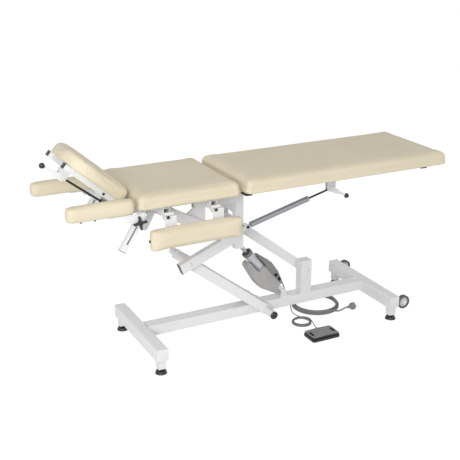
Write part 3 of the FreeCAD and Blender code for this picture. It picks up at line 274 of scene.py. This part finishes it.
def paint(name="white powder coat", dark=None, tint=(0.715, 0.72, 0.73, 1)):
    """Powder coat: orange peel, faint yellowing, lighter along sharp convex edges; dark(f) gives where black
    caps sit.
    """
    f = Finish(name)
    colour = worn(f, tint, (tint[0] * 0.965, tint[1] * 0.96, tint[2] * 0.945, 1), scale=2.2)
    colour = f.mix(f.math("MULTIPLY", edges(f), 0.35), colour, (0.82, 0.82, 0.82, 1))
    rough = f.range(f.noise(14.0, 3.0), 0.3, 0.7, 0.26, 0.36)
    if dark is not None:
        colour = f.mix(dark(f), colour, BLACK)
    f.set(Base_Color=colour, Roughness=rough, Specular_IOR_Level=0.5)
    peel = f.noise(420.0, 2.0, 0.45)
    f.set(Normal=f.bump(peel, 0.00009, 0.35))
    return f.material


def black_plastic(name="black plastic", tint=(0.018, 0.018, 0.02, 1), rough=0.42):
    f = Finish(name)
    grain = f.noise(1500.0, 2.0)
    f.set(Base_Color=worn(f, tint, shade(tint, 1.5), scale=22.0))
    f.set(Roughness=f.range(grain, 0.3, 0.7, rough - 0.05, rough + 0.07), Specular_IOR_Level=0.45)
    f.set(Normal=f.bump(grain, 0.00012, 0.5))
    return f.material


def moulded(name, colour, other, rough=0.45, dark=None, black=(0.03, 0.03, 0.03, 1)):
    """Moulded plastic with a spark-eroded texture and faint flow marks."""
    f = Finish(name)
    grain = f.cells(900.0)
    tone = worn(f, colour, other, scale=16.0)
    tone = f.mix(f.range(grain, 0.0, 0.7, 0.0, 0.12), tone, shade(colour, 0.6))
    # dark(f) gives where the tone yields to the black argument: the bare cast eye on the housing, and painted
    # shade inside the sockets on the control box.
    if dark is not None:
        tone = f.mix(dark(f), tone, black)
    f.set(Base_Color=tone, Roughness=f.range(f.noise(60.0), 0.3, 0.7, rough - 0.05, rough + 0.07))
    f.set(Specular_IOR_Level=0.4, Normal=f.bump(grain, 0.00014, 0.5))
    return f.material


def metal(name, colour, rough, metallic, turn=(0, 0, 0), dark=None, black=BLACK):
    """Drawn metal: fine lines along its length in roughness and bump."""
    f = Finish(name)
    lines = f.noise(900.0, 3.0, 0.6, (turn, LINES_ALONG))
    tone = f.mix(f.range(lines, 0.3, 0.7), colour, shade(colour, 0.86))
    if dark is not None:
        tone = f.mix(dark(f), tone, black)
    f.set(Base_Color=tone, Metallic=metallic)
    f.set(Roughness=f.range(lines, 0.25, 0.75, rough - 0.06, rough + 0.08))
    f.set(Normal=f.bump(lines, 0.00004, 0.3))
    return f.material


def cord_sheath():
    f = Finish("grey cord")
    grain = f.noise(1800.0, 2.0)
    f.set(Base_Color=worn(f, (0.215, 0.215, 0.22, 1), (0.175, 0.175, 0.18, 1), scale=24.0))
    f.set(Roughness=f.range(grain, 0.3, 0.7, 0.42, 0.56), Specular_IOR_Level=0.4)
    f.set(Normal=f.bump(grain, 0.0001, 0.4))
    return f.material


HUB_RADIUS = 0.0245


def tyre_and_hub(side):
    """Dark rubber outside the hub's radius, pale plastic inside it."""
    low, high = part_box("wheel_" + side)
    centre = (low + high) / 2
    f = Finish("wheel " + side)
    rubber = f.beyond(f.away_from_axis(centre, Y_AXIS), HUB_RADIUS)
    tread = f.noise(700.0, 2.0)
    hub = worn(f, (0.60, 0.60, 0.61, 1), (0.52, 0.52, 0.53, 1), scale=30.0)
    tone = f.mix(rubber, hub, (0.085, 0.085, 0.09, 1))
    f.set(Base_Color=tone, Roughness=f.range(tread, 0.3, 0.7, 0.42, 0.6), Specular_IOR_Level=0.4)
    f.set(Normal=f.bump(tread, 0.0001, 0.5))
    return f.material


def wear(node, material):
    """Gives a CAD node its material through its material slots."""
    mesh = frame["nodes"][node].data
    if not mesh.materials:
        mesh.materials.append(material)
    for index in range(len(mesh.materials)):
        mesh.materials[index] = material


white = paint()
cream = vinyl()
black = black_plastic()
sheath = cord_sheath()

# Where the black end plugs begin, in metres: from the middle plane, the knee and the rail's top.
PIVOT_TUBE_PLUG = 0.1462
STRUT_PLUG = 0.0481
ARMREST_RAIL_PLUG = 0.1895

strut_down = -direction(22.0)
rail_down = -direction(57.4)
wear("base_pivot_tube", paint("pivot tube with caps", lambda f: f.outside_middle(PIVOT_TUBE_PLUG)))
wear("near_strut", paint("strut with end plug", lambda f: f.beyond(
    f.along(strut_down, in_plane(KNEE)), STRUT_PLUG)))
for side, _ in SIDES:
    wear("armrest_rail_" + side, paint("armrest rail " + side, lambda f: f.beyond(
        f.along(rail_down, in_plane(ARMREST_RAIL_TOP)), ARMREST_RAIL_PLUG)))
    wear("wheel_" + side, tyre_and_hub(side))

for node in ("base_rail", "head_foot_bar", "leg_foot_bar", "actuator_bracket", "knee_tube", "upper_arm",
             "lower_arm_near", "lower_arm_far", "near_post", "far_post", "diagonal_brace",
             "under_seat_cradle", "rod_lug", "leg_frame", "head_frame", "armrest_bracket_near",
             "armrest_bracket_far", "leg_release_lever", "head_release_lever", "column_post",
             "side_pad_hinges_near", "side_pad_hinges_far", "seat_frame"):
    wear(node, white)
for node in ("levelling_feet", "head_frame_plugs", "armrest_star_knob_near", "armrest_star_knob_far",
             "leg_release_knob", "head_release_knob", "cord_glands", "foot_switch_base"):
    wear(node, black)

actuator_foot = in_plane(ACTUATOR_FOOT)
actuator_axis = (in_plane(ACTUATOR_TOP) - actuator_foot).normalized()
actuator_turn = (0, math.atan2(actuator_axis.z, actuator_axis.x), 0)
actuator_side = Vector((-actuator_axis.z, 0.0, actuator_axis.x))


# Extents on the actuator, in metres from its foot, along it and across it.
EYE_LENGTH = 0.0565
EYE_HALF_WIDTH = 0.0137
EYE_TOP = 0.0115
SOCKETS_ALONG = ((0.0679, 0.0901), (0.0999, 0.1221))
SOCKETS_ACROSS = (0.0199, 0.0361)
SOCKETS_DEEP = (-0.0257, -0.0198)
TUBE_HEAD = 0.3035


def cast_eye(f):
    """The bare end of the housing that the lower pivot goes through."""
    near_pivot = f.within(f.along(actuator_axis, actuator_foot), EYE_LENGTH)
    slim = f.math("SUBTRACT", 1.0, f.outside_middle(EYE_HALF_WIDTH))
    low = f.within(f.along(actuator_side, actuator_foot), EYE_TOP)
    return f.math("MULTIPLY", near_pivot, f.math("MULTIPLY", slim, low))


def painted_socket_shade(f):
    """The inner walls of the two sockets in the control box's near face, painted near black as the shade in
    the recesses.
    """
    deep = f.between(f.along(Y_AXIS), *SOCKETS_DEEP)
    from_foot = f.along(actuator_axis, actuator_foot)
    first, second = (f.between(from_foot, *ends) for ends in SOCKETS_ALONG)
    across = f.between(f.along(-actuator_side, actuator_foot), *SOCKETS_ACROSS)
    return f.math("MULTIPLY", deep, f.math("MULTIPLY", across, f.math("MAXIMUM", first, second)))


wear("actuator_housing", moulded(
    "housing grey", (0.40, 0.395, 0.385, 1), (0.35, 0.345, 0.335, 1), 0.45,
    cast_eye, (0.66, 0.66, 0.67, 1)))
# The control box's sockets get near black on their inner walls: painted shade in the recesses.
wear("control_box", moulded(
    "control box grey", (0.235, 0.232, 0.228, 1), (0.20, 0.198, 0.195, 1), 0.42,
    painted_socket_shade, (0.012, 0.012, 0.012, 1)))
wear("actuator_tube", metal(
    "actuator tube", (0.55, 0.55, 0.59, 1), 0.4, 0.15, actuator_turn,
    lambda f: f.beyond(f.along(actuator_axis, actuator_foot), TUBE_HEAD), (0.17, 0.17, 0.175, 1)))
wear("actuator_rod", metal("actuator rod", (0.42, 0.42, 0.43, 1), 0.25, 0.8, actuator_turn))


def spring_finish(name, low, high, rod):
    """A gas spring's satin grey cylinder, or its black rod."""
    axis = (high - low).normalized()
    turn = (0, math.atan2(axis.z, axis.x), 0)
    if rod:
        return metal(name, (0.016, 0.016, 0.018, 1), 0.3, 0.1, turn)
    return metal(name, (0.33, 0.33, 0.365, 1), 0.3, 0.45, turn)


def head_point(u, n):
    """A place in the raised head section: u along it from its hinge, n above it, in millimetres."""
    cos, sin = math.cos(HEAD_RAISE), math.sin(HEAD_RAISE)
    return -530.0 - u * cos + n * sin, 770.0 + u * sin + n * cos


leg_spring = (in_plane(LEG_SPRING_LOW, SPRING_Y), in_plane(LEG_SPRING_HIGH, SPRING_Y))
head_spring = (in_plane(HEAD_SPRING_LOW, SPRING_Y), in_plane(head_point(303, -42), SPRING_Y))
for name, ends in (("leg", leg_spring), ("head", head_spring)):
    wear(name + "_spring_cylinder", spring_finish(name + " spring cylinder", *ends, False))
    wear(name + "_spring_rod", spring_finish(name + " spring rod", *ends, True))

TREAD_SKIN = 0.0045


def tread_finish():
    """Grey plastic with fine ribs on top; the sides and the slots are black."""
    f = Finish("foot switch tread")
    ribs = f.new("ShaderNodeTexWave", wave_type="BANDS", bands_direction="X")
    f.link(f.coordinates, ribs.inputs["Vector"])
    ribs.inputs["Scale"].default_value = 55.0
    ribs.inputs["Distortion"].default_value = 0.0
    facing = f.new("ShaderNodeSeparateXYZ")
    f.link(f.new("ShaderNodeNewGeometry").outputs["True Normal"], facing.inputs[0])
    sides = f.within(facing.outputs["Z"], 0.7)
    below = f.within(f.along(Z_AXIS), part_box("foot_switch_tread")[1].z - TREAD_SKIN)
    low = f.math("MAXIMUM", below, sides)
    tone = worn(f, (0.225, 0.225, 0.23, 1), (0.195, 0.195, 0.20, 1), scale=26.0)
    f.set(Base_Color=f.mix(low, tone, (0.012, 0.012, 0.013, 1)))
    grain = f.noise(1500.0, 2.0)
    f.set(Roughness=f.range(grain, 0.3, 0.7, 0.4, 0.52), Specular_IOR_Level=0.4)
    f.set(Normal=f.bump(ribs.outputs["Fac"], 0.0003, 0.4, f.bump(grain, 0.0001, 0.4)))
    return f.material


wear("foot_switch_tread", tread_finish())


# Cords

MAINS_RADIUS = 0.004
PEDAL_RADIUS = 0.0025
CABLE_RADIUS = 0.003
EASE_FROM = 0.75


def nurbs_cord(name, points, radius, material):
    data = bpy.data.curves.new(name, "CURVE")
    data.dimensions = "3D"
    data.bevel_depth = radius
    data.bevel_resolution = 5
    data.resolution_u = 10
    data.use_fill_caps = True
    spline = data.splines.new("NURBS")
    spline.points.add(len(points) - 1)
    for point, place_of in zip(spline.points, points):
        point.co = (*place_of, 1.0)
    spline.order_u = 3
    spline.use_endpoint_u = True
    data.materials.append(material)
    cord = bpy.data.objects.new(name, data)
    bpy.context.scene.collection.objects.link(cord)
    return cord


def coil(centre, start, turns, layers, per_turn=16):
    """Points of a wound coil; layers lists (radius, height) of each turn, eased from one to the next."""
    points = []
    steps = round(abs(turns) * per_turn)
    way = 1.0 if turns > 0 else -1.0
    for i in range(steps + 1):
        done = i / per_turn
        lap = min(int(done), len(layers) - 1)
        after = min(lap + 1, len(layers) - 1)
        share = done - lap
        ease = max(0.0, min(1.0, (share - EASE_FROM) / (1.0 - EASE_FROM)))
        radius = layers[lap][0] * (1 - ease) + layers[after][0] * ease
        height = layers[lap][1] * (1 - ease) + layers[after][1] * ease
        angle = math.radians(start) + way * 2 * math.pi * done
        points.append((centre[0] + radius * math.cos(angle), centre[1] + radius * math.sin(angle), height))
    return points


mains_in = [(730, 45.2, 97), (730, 92, 97), (722, 130, 68), (700, 146, 33), (668, 152, 8)]
mains_turns = coil((588, 50), 70.0, 5.5417, [
    (123.7, 4.2), (115.5, 4.2), (115.5, 12.4), (123.7, 12.4), (115.5, 20.6), (123.7, 20.6)])
mains_out = [(612, -77, 20.5), (642, -79.5, 9), (668, PLUG_Y, 10.5), (690, PLUG_Y, PLUG_Z),
             (705.9, PLUG_Y, PLUG_Z)]
mains_points = [place(*p) for p in mains_in + mains_turns + mains_out]
mains = nurbs_cord("mains_cord", mains_points, MAINS_RADIUS, sheath)

pedal_in = [(412, 10, 63.8), (412, 10, 38), (420, 4, 11), (434, -20, 3), (448, -50, 2.7)]
pedal_turns = coil((414, -98), 20.0, -5.0972, [
    (49.4, 2.7), (44.2, 2.7), (44.2, 7.8), (49.4, 7.8), (44.2, 12.9), (49.4, 12.9)])
pedal_out = [(458, -135, 12), (450, -165, 3.6), (446, -190, 6.5), (446, -207.9, 6.5)]
pedal_points = [place(*p) for p in pedal_in + pedal_turns + pedal_out]
pedal = nurbs_cord("foot_switch_cord", pedal_points, PEDAL_RADIUS, sheath)


def spline_points(cord):
    """The points along a cord's own line."""
    data = cord.data.copy()
    data.bevel_depth = 0.0
    plain = bpy.data.objects.new("measure", data)
    mesh = bpy.data.meshes.new_from_object(plain)
    points = [v.co.copy() for v in mesh.vertices]
    bpy.data.objects.remove(plain)
    bpy.data.meshes.remove(mesh)
    bpy.data.curves.remove(data)
    return points


def curve_length(cord):
    """The length of a cord's own line."""
    points = spline_points(cord)
    return sum((b - a).length for a, b in zip(points, points[1:]))


mains_length = curve_length(mains)
pedal_length = curve_length(pedal)


# Building pieces


def finished(name, bm, material, body, smooth=True):
    mesh = bpy.data.meshes.new(name)
    bm.to_mesh(mesh)
    bm.free()
    mesh.materials.append(material)
    for polygon in mesh.polygons:
        polygon.use_smooth = smooth
    piece = bpy.data.objects.new(name, mesh)
    bpy.context.scene.collection.objects.link(piece)
    if body is not None:
        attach(piece, body)
    return piece


def turned(name, origin, axis, profile, material, body, segments=40):
    """A lathe piece: profile lists (distance along axis, radius) in millimetres."""
    bm = bmesh.new()
    axis = Vector(axis).normalized()
    side = axis.orthogonal().normalized()
    other = axis.cross(side)
    rings = []
    for along, radius in profile:
        ring = []
        for i in range(segments):
            angle = 2 * math.pi * i / segments
            out = side * math.cos(angle) + other * math.sin(angle)
            ring.append(bm.verts.new(origin + axis * along / 1000.0 + out * max(radius, 0.02) / 1000.0))
        rings.append(ring)
    for first, second in zip(rings, rings[1:]):
        for i in range(segments):
            j = (i + 1) % segments
            bm.faces.new((first[i], first[j], second[j], second[i]))
    bm.faces.new(list(reversed(rings[0])))
    bm.faces.new(rings[-1])
    bmesh.ops.recalc_face_normals(bm, faces=bm.faces)
    return finished(name, bm, material, body, True)


# Upholstery

PRESSURE = 4.0
SIM_FRAMES = 20
BOARD_BAND = 0.004
DRAW_IN = 0.8
RELAX_STEPS = 4


def cushion(name, node, body, up, cap, fill, rounding, voxel=0.005):
    """Foam and vinyl: the CAD pad, remeshed, drawn in, swollen by cloth pressure, held on its board."""
    up = Vector(up).normalized()
    turn = np.array(Vector((0, 0, 1)).rotation_difference(up).to_matrix())
    source = frame["nodes"][node].data.copy()
    piece = bpy.data.objects.new(name, source)
    bpy.context.scene.collection.objects.link(piece)
    bpy.context.view_layer.objects.active = piece
    whole = coordinates(piece) @ turn
    source.materials.clear()
    source.materials.append(cream)
    remesh = piece.modifiers.new("remesh", "REMESH")
    remesh.mode = "VOXEL"
    remesh.voxel_size = voxel
    remesh.use_smooth_shade = True
    apply(piece, "remesh")
    relax(piece, rounding)
    rest = coordinates(piece)
    normals = vertex_normals(piece)
    board = rest @ np.array(up) < (rest @ np.array(up)).min() + BOARD_BAND
    draw_in = np.where(board, 0.0, 1.0)[:, None] * cap * DRAW_IN
    start = rest - normals * draw_in
    set_coordinates(piece, start)
    swell(piece, board, start, cap)
    relax(piece, RELAX_STEPS)
    fit(piece, whole, turn)
    creases(piece, up, rest)
    subdivide = piece.modifiers.new("smooth", "SUBSURF")
    subdivide.levels = 1
    subdivide.render_levels = 1
    apply(piece, "smooth")
    for polygon in piece.data.polygons:
        polygon.use_smooth = True
    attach(piece, body)
    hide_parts(node)
    return piece


def apply(piece, modifier):
    with bpy.context.temp_override(object=piece, active_object=piece, selected_objects=[piece]):
        bpy.ops.object.modifier_apply(modifier=modifier)


def coordinates(piece, what="co"):
    values = np.zeros(len(piece.data.vertices) * 3)
    piece.data.vertices.foreach_get(what, values)
    return values.reshape(-1, 3)


def vertex_normals(piece):
    return coordinates(piece, "normal")


def set_coordinates(piece, values):
    piece.data.vertices.foreach_set("co", values.reshape(-1))
    piece.data.update()


def relax(piece, steps):
    """Rounds of smoothing, for soft edges and a taut cover without dents."""
    even = piece.modifiers.new("even", "SMOOTH")
    even.factor = 0.5
    even.iterations = steps
    apply(piece, "even")


def fit(piece, whole, turn):
    """Scales a pad, along its own axes, to the size of the CAD solid."""
    points = coordinates(piece) @ turn
    low, high = points.min(axis=0), points.max(axis=0)
    whole_low, whole_high = whole.min(axis=0), whole.max(axis=0)
    share = (points - low) / (high - low)
    set_coordinates(piece, (whole_low + share * (whole_high - whole_low)) @ turn.T)


def swell(piece, board, start, cap):
    """Cloth pressure, with the vertices on the board pinned and every move capped."""
    group = piece.vertex_groups.new(name="board")
    group.add([int(i) for i in np.nonzero(board)[0]], 1.0, "REPLACE")
    cloth = piece.modifiers.new("cloth", "CLOTH")
    settings = cloth.settings
    settings.quality = 4
    settings.mass = 0.4
    settings.tension_stiffness = 18.0
    settings.compression_stiffness = 18.0
    settings.shear_stiffness = 8.0
    settings.bending_stiffness = 0.8
    settings.use_pressure = True
    settings.uniform_pressure_force = PRESSURE
    settings.effector_weights.gravity = 0.0
    settings.vertex_group_mass = "board"
    cloth.collision_settings.use_collision = False
    cloth.point_cache.frame_start = 1
    cloth.point_cache.frame_end = SIM_FRAMES
    scene = bpy.context.scene
    for step in range(1, SIM_FRAMES + 1):
        scene.frame_set(step)
    moved = coordinates(piece.evaluated_get(bpy.context.evaluated_depsgraph_get())) - start
    length = np.linalg.norm(moved, axis=1)
    scale = np.where(length > cap, cap / np.maximum(length, 1e-9), 1.0)
    piece.modifiers.remove(cloth)
    piece.vertex_groups.clear()
    scene.frame_set(1)
    set_coordinates(piece, start + moved * scale[:, None])


def creases(piece, up, rest):
    """Short pulls in the cover at the lower edge and corners, and a faint unevenness of the foam."""
    points = coordinates(piece)
    normals = vertex_normals(piece)
    height = points @ np.array(up)
    low = height.min()
    span = height.max() - low
    near_edge = np.clip(1.0 - (height - low) / (0.45 * span), 0.0, 1.0) ** 2
    around = points - points.mean(axis=0)
    wave = (np.sin(around[:, 0] * 310.0 + np.sin(around[:, 1] * 47.0) * 2.0)
            * np.sin(around[:, 1] * 290.0 + np.sin(around[:, 0] * 39.0) * 2.0))
    slow = np.sin(around[:, 0] * 13.0 + 1.3) * np.sin(around[:, 1] * 11.0 + 0.4)
    push = 0.00025 * wave * near_edge + 0.0006 * slow * (1.0 - near_edge)
    set_coordinates(piece, points + normals * push[:, None])


# Swell in metres, fill, rounds of rounding and, where it isn't 5 mm, the voxel in metres.
LONG_PAD = (0.006, 0.85, 7, 0.006)
HEAD_PAD = (0.006, 0.85, 26)
SMALL_PAD = (0.005, 0.8, 40)

up_head = (math.sin(HEAD_RAISE), 0.0, math.cos(HEAD_RAISE))
cushion("leg_upholstery", "leg_cushion", "leg_section", Z_AXIS, *LONG_PAD)
cushion("seat_upholstery", "seat_cushion", "seat_section", Z_AXIS, *LONG_PAD)
cushion("head_upholstery", "head_cushion", "head_section", up_head, *HEAD_PAD)
for side, sign in SIDES:
    cushion("armrest_upholstery_" + side, "armrest_pad_" + side, "armrest_" + side, Z_AXIS, *SMALL_PAD)
    cushion("side_upholstery_" + side, "side_pad_" + side, "side_pad_" + side, (0, sign, 0), *SMALL_PAD)


# Plug


def plug():
    """A round two-pin plug in one moulded body, with grip rings and a ribbed relief."""
    origin = place(706, PLUG_Y, PLUG_Z)
    profile = [(-1, 4.4), (0, 5.2)]
    for rib in range(4):
        start = 1.5 + rib * 3.2
        profile += [(start, 5.6 + rib * 0.5), (start + 0.6, 6.4 + rib * 0.5), (start + 1.9, 6.4 + rib * 0.5),
                    (start + 2.5, 5.5 + rib * 0.5)]
    profile += [(15, 8.4), (20, 15), (23, 17.6), (26, 18.9), (28, 19.0)]
    for ring in range(3):
        start = 29 + ring * 3.2
        profile += [(start, 19.0), (start + 0.5, 18.4), (start + 1.6, 18.4), (start + 2.1, 19.0)]
    profile += [(39.6, 19.0), (40.4, 18.6), (41, 17.8), (41, 0)]
    return turned("plug_body", origin, X_AXIS, profile, sheath, "base", 48)


plug_body = plug()
steel = metal("pin steel", (0.62, 0.61, 0.58, 1), 0.25, 0.95)
pin_profile = [(-1, 2.4), (15, 2.4), (16.2, 2.1), (16.9, 1.4), (17.0, 0)]
plug_pins = [turned("plug_pin_%d" % index, place(747, PLUG_Y + offset, PLUG_Z), X_AXIS, pin_profile,
                    steel, "base", 20) for index, offset in enumerate((-9.5, 9.5))]
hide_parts("mains_plug")

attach(mains, "base")
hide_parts("mains_cord_coil", "mains_cord_lead", "mains_plug_lead")
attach(pedal, "base")
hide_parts("foot_switch_coil", "foot_switch_lead", "foot_switch_tail")


# Bolt heads and caps


def bolt(name, centre, axis, radius, height, body, material=black):
    """A domed cap with a collar, as black caps over pivot bolts are."""
    profile = [(0, radius * 1.08), (0.8, radius * 1.08), (1.1, radius), (height * 0.55, radius * 0.97),
               (height * 0.82, radius * 0.78), (height * 0.96, radius * 0.42), (height, 0)]
    return turned(name, centre, axis, profile, material, body, 32)


NEAR_WAY = (0, -1, 0)
SUNK = 0.0005

for side, sign in SIDES:
    body = "side_pad_" + side
    for index, x in enumerate((-394, -168)):
        spot = place(x, sign * 302.0, 762)
        bolt("side_hinge_bolt_%s_%d" % (side, index), spot, (0, sign, 0), 7.2, 5.5, body)
    for index, (x, way) in enumerate(((-489.2, -1), (-50.8, 1))):
        spot = place(x, sign * 326.0, 677)
        bolt("side_pad_end_cap_%s_%d" % (side, index), spot, (way, 0, 0), 6.8, 4.5, body)
bolt("knee_shaft_cap", in_plane(KNEE, -98.2), NEAR_WAY, 8.5, 4.0, "lower_arms", white)
bolt("leg_spring_low_cap", in_plane(LEG_SPRING_LOW, -94.2), NEAR_WAY, 7.5, 5.0, "seat_section")
bolt("column_pivot_cap", in_plane(COLUMN_PIVOT, -30.2), NEAR_WAY, 9.5, 4.5, "base", white)

for side, sign in SIDES:
    pad_low, pad_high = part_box("armrest_pad_" + side)
    y = (pad_low.y + pad_high.y) / 2 + sign * 0.016
    for index, share in enumerate((0.2, 0.4)):
        spot = Vector((pad_low.x + share * (pad_high.x - pad_low.x), y, pad_low.z + SUNK))
        bolt("armrest_screw_%s_%d" % (side, index), spot, (0, 0, -1), 5.5, 6.0, "armrest_" + side)
head_bolt = in_plane(head_point(135, 4))
head_bolt.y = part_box("head_frame")[0].y + 0.0003
bolt("head_frame_bolt", head_bolt, NEAR_WAY, 6.0, 3.5, "head_section")


BALL_RADIUS = 12.5


def ball(name, node, body, lever_from):
    """A turned ball knob with a collar towards its lever."""
    low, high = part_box(node)
    centre = (low + high) / 2
    way = (centre - lever_from).normalized()
    profile = [(-16.5, 4.2), (-14.5, 4.4), (-12.2, 5.4)]
    for step in range(1, 20):
        angle = math.pi * (0.14 + 0.86 * step / 20)
        profile.append((-BALL_RADIUS * math.cos(angle), BALL_RADIUS * math.sin(angle)))
    profile.append((BALL_RADIUS, 0))
    piece = turned(name, centre, way, profile, black, body, 40)
    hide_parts(node)


ball("leg_ball_knob", "leg_release_knob", "leg_lever", leg_spring[1])
ball("head_ball_knob", "head_release_knob", "head_lever", head_spring[1])


def batten(name, low, high, body):
    """A moulded edge strip with softened corners, screwed under a cushion board."""
    bm = bmesh.new()
    bmesh.ops.create_cube(bm, size=1.0)
    middle = (low + high) / 2
    size = high - low
    for vert in bm.verts:
        vert.co = middle + vert.co * size
    upright = [e for e in bm.edges if abs(e.verts[0].co.z - e.verts[1].co.z) > size.z / 2]
    corner = min(size.x, size.y) * 0.3
    bmesh.ops.bevel(bm, geom=upright, offset=corner, segments=5, affect="EDGES", profile=0.5)
    rim = [e for e in bm.edges if max(v.co.z for v in e.verts) < low.z + size.z * 0.01]
    bmesh.ops.bevel(bm, geom=rim, offset=size.z * 0.3, segments=3, affect="EDGES", profile=0.5)
    return finished(name, bm, black, body, False)


board_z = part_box("leg_cushion")[0].z * 1000.0
for side, sign in SIDES:
    inner, outer = sorted((sign * 192.0, sign * 251.0))
    for name, first, last in (("leg_board_strip_", 6, 44), ("foot_board_strip_", 985, 1028)):
        low, high = place(first, inner, board_z - 5), place(last, outer, board_z + 0.5)
        batten(name + side, low, high, "leg_section")


# Cable from the control box into the rail

cable_points = [in_plane(p) for p in ((341.5, 212), (351, 199), (361, 178), (367, 156), (368.5, 141),
                                      (368.5, 131))]
cable_line = nurbs_cord("control_cable_line", cable_points, CABLE_RADIUS, sheath)
cable_path = spline_points(cable_line)
cable_length = curve_length(cable_line)
cable = bpy.data.objects.new("control_cable", bpy.data.meshes.new_from_object(cable_line))
bpy.context.scene.collection.objects.link(cable)
bpy.data.objects.remove(cable_line)
for polygon in cable.data.polygons:
    polygon.use_smooth = True
turned("cable_grommet", in_plane((368.5, 129.8)), Z_AXIS,
       [(0, 8.0), (1.5, 8.0), (2.2, 7.4), (4.5, 5.2), (8.0, 3.9), (8.4, 3.4), (8.4, 0)], black, "base", 32)
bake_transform(cable)


# Stage


def stage_floor():
    """A white floor: lit for the object, near white to the camera and in reflections, with a faint shadow."""
    f = Finish("floor")
    f.set(Base_Color=(0.80, 0.80, 0.80, 1), Roughness=0.9, Specular_IOR_Level=0.0)
    glow = f.new("ShaderNodeEmission")
    glow.inputs["Strength"].default_value = 0.86
    matt = f.new("ShaderNodeBsdfDiffuse")
    matt.inputs["Color"].default_value = (0.28, 0.28, 0.28, 1)
    both = f.new("ShaderNodeAddShader")
    f.link(glow.outputs[0], both.inputs[0])
    f.link(matt.outputs[0], both.inputs[1])
    seen = f.new("ShaderNodeLightPath")
    either = f.math("MAXIMUM", seen.outputs["Is Camera Ray"], seen.outputs["Is Glossy Ray"])
    either = f.math("MAXIMUM", either, seen.outputs["Is Transmission Ray"])
    mix = f.new("ShaderNodeMixShader")
    f.link(either, mix.inputs[0])
    f.link(f.shader.outputs[0], mix.inputs[1])
    f.link(both.outputs[0], mix.inputs[2])
    f.link(mix.outputs[0], f.output.inputs[0])
    bm = bmesh.new()
    bmesh.ops.create_grid(bm, x_segments=4, y_segments=4, size=60.0)
    floor = finished("floor", bm, f.material, None, False)
    floor.location.z = -0.0005


stage_floor()

WORLD_LIGHT = 0.52
WORLD_SEEN = 1.0


def studio_world():
    """A white surround: softer as a light than as what the camera and reflections see."""
    world = bpy.data.worlds.new("studio")
    bpy.context.scene.world = world
    world.use_nodes = True
    nodes = world.node_tree.nodes
    links = world.node_tree.links
    nodes.clear()
    out = nodes.new("ShaderNodeOutputWorld")
    background = nodes.new("ShaderNodeBackground")
    background.inputs["Color"].default_value = (1, 1, 1, 1)
    path = nodes.new("ShaderNodeLightPath")
    seen = path.outputs["Is Camera Ray"]
    for ray in ("Is Glossy Ray", "Is Transmission Ray"):
        either = nodes.new("ShaderNodeMath")
        either.operation = "MAXIMUM"
        links.new(seen, either.inputs[0])
        links.new(path.outputs[ray], either.inputs[1])
        seen = either.outputs[0]
    level = nodes.new("ShaderNodeMapRange")
    level.inputs["To Min"].default_value = WORLD_LIGHT
    level.inputs["To Max"].default_value = WORLD_SEEN
    links.new(seen, level.inputs["Value"])
    links.new(level.outputs[0], background.inputs["Strength"])
    links.new(background.outputs[0], out.inputs[0])


studio_world()


def lamp(name, azimuth, elevation, distance, size, power):
    """A square soft light that faces the table's middle; azimuth 0 stands on the near side."""
    data = bpy.data.lights.new(name, "AREA")
    data.shape = "SQUARE"
    data.size = size
    data.energy = power
    light = bpy.data.objects.new(name, data)
    bpy.context.scene.collection.objects.link(light)
    a, e = math.radians(azimuth), math.radians(elevation)
    middle = Vector((0.0, 0.0, 0.5))
    way = Vector((math.sin(a) * math.cos(e), -math.cos(a) * math.cos(e), math.sin(e)))
    light.location = middle + distance * way
    light.rotation_euler = (middle - light.location).to_track_quat("-Z", "Y").to_euler()


lamp("key", -40.0, 24.0, 6.0, 3.2, 234.0)
lamp("fill", 25.0, 35.0, 6.5, 3.0, 30.0)

bpy.context.scene.view_settings.view_transform = "Standard"
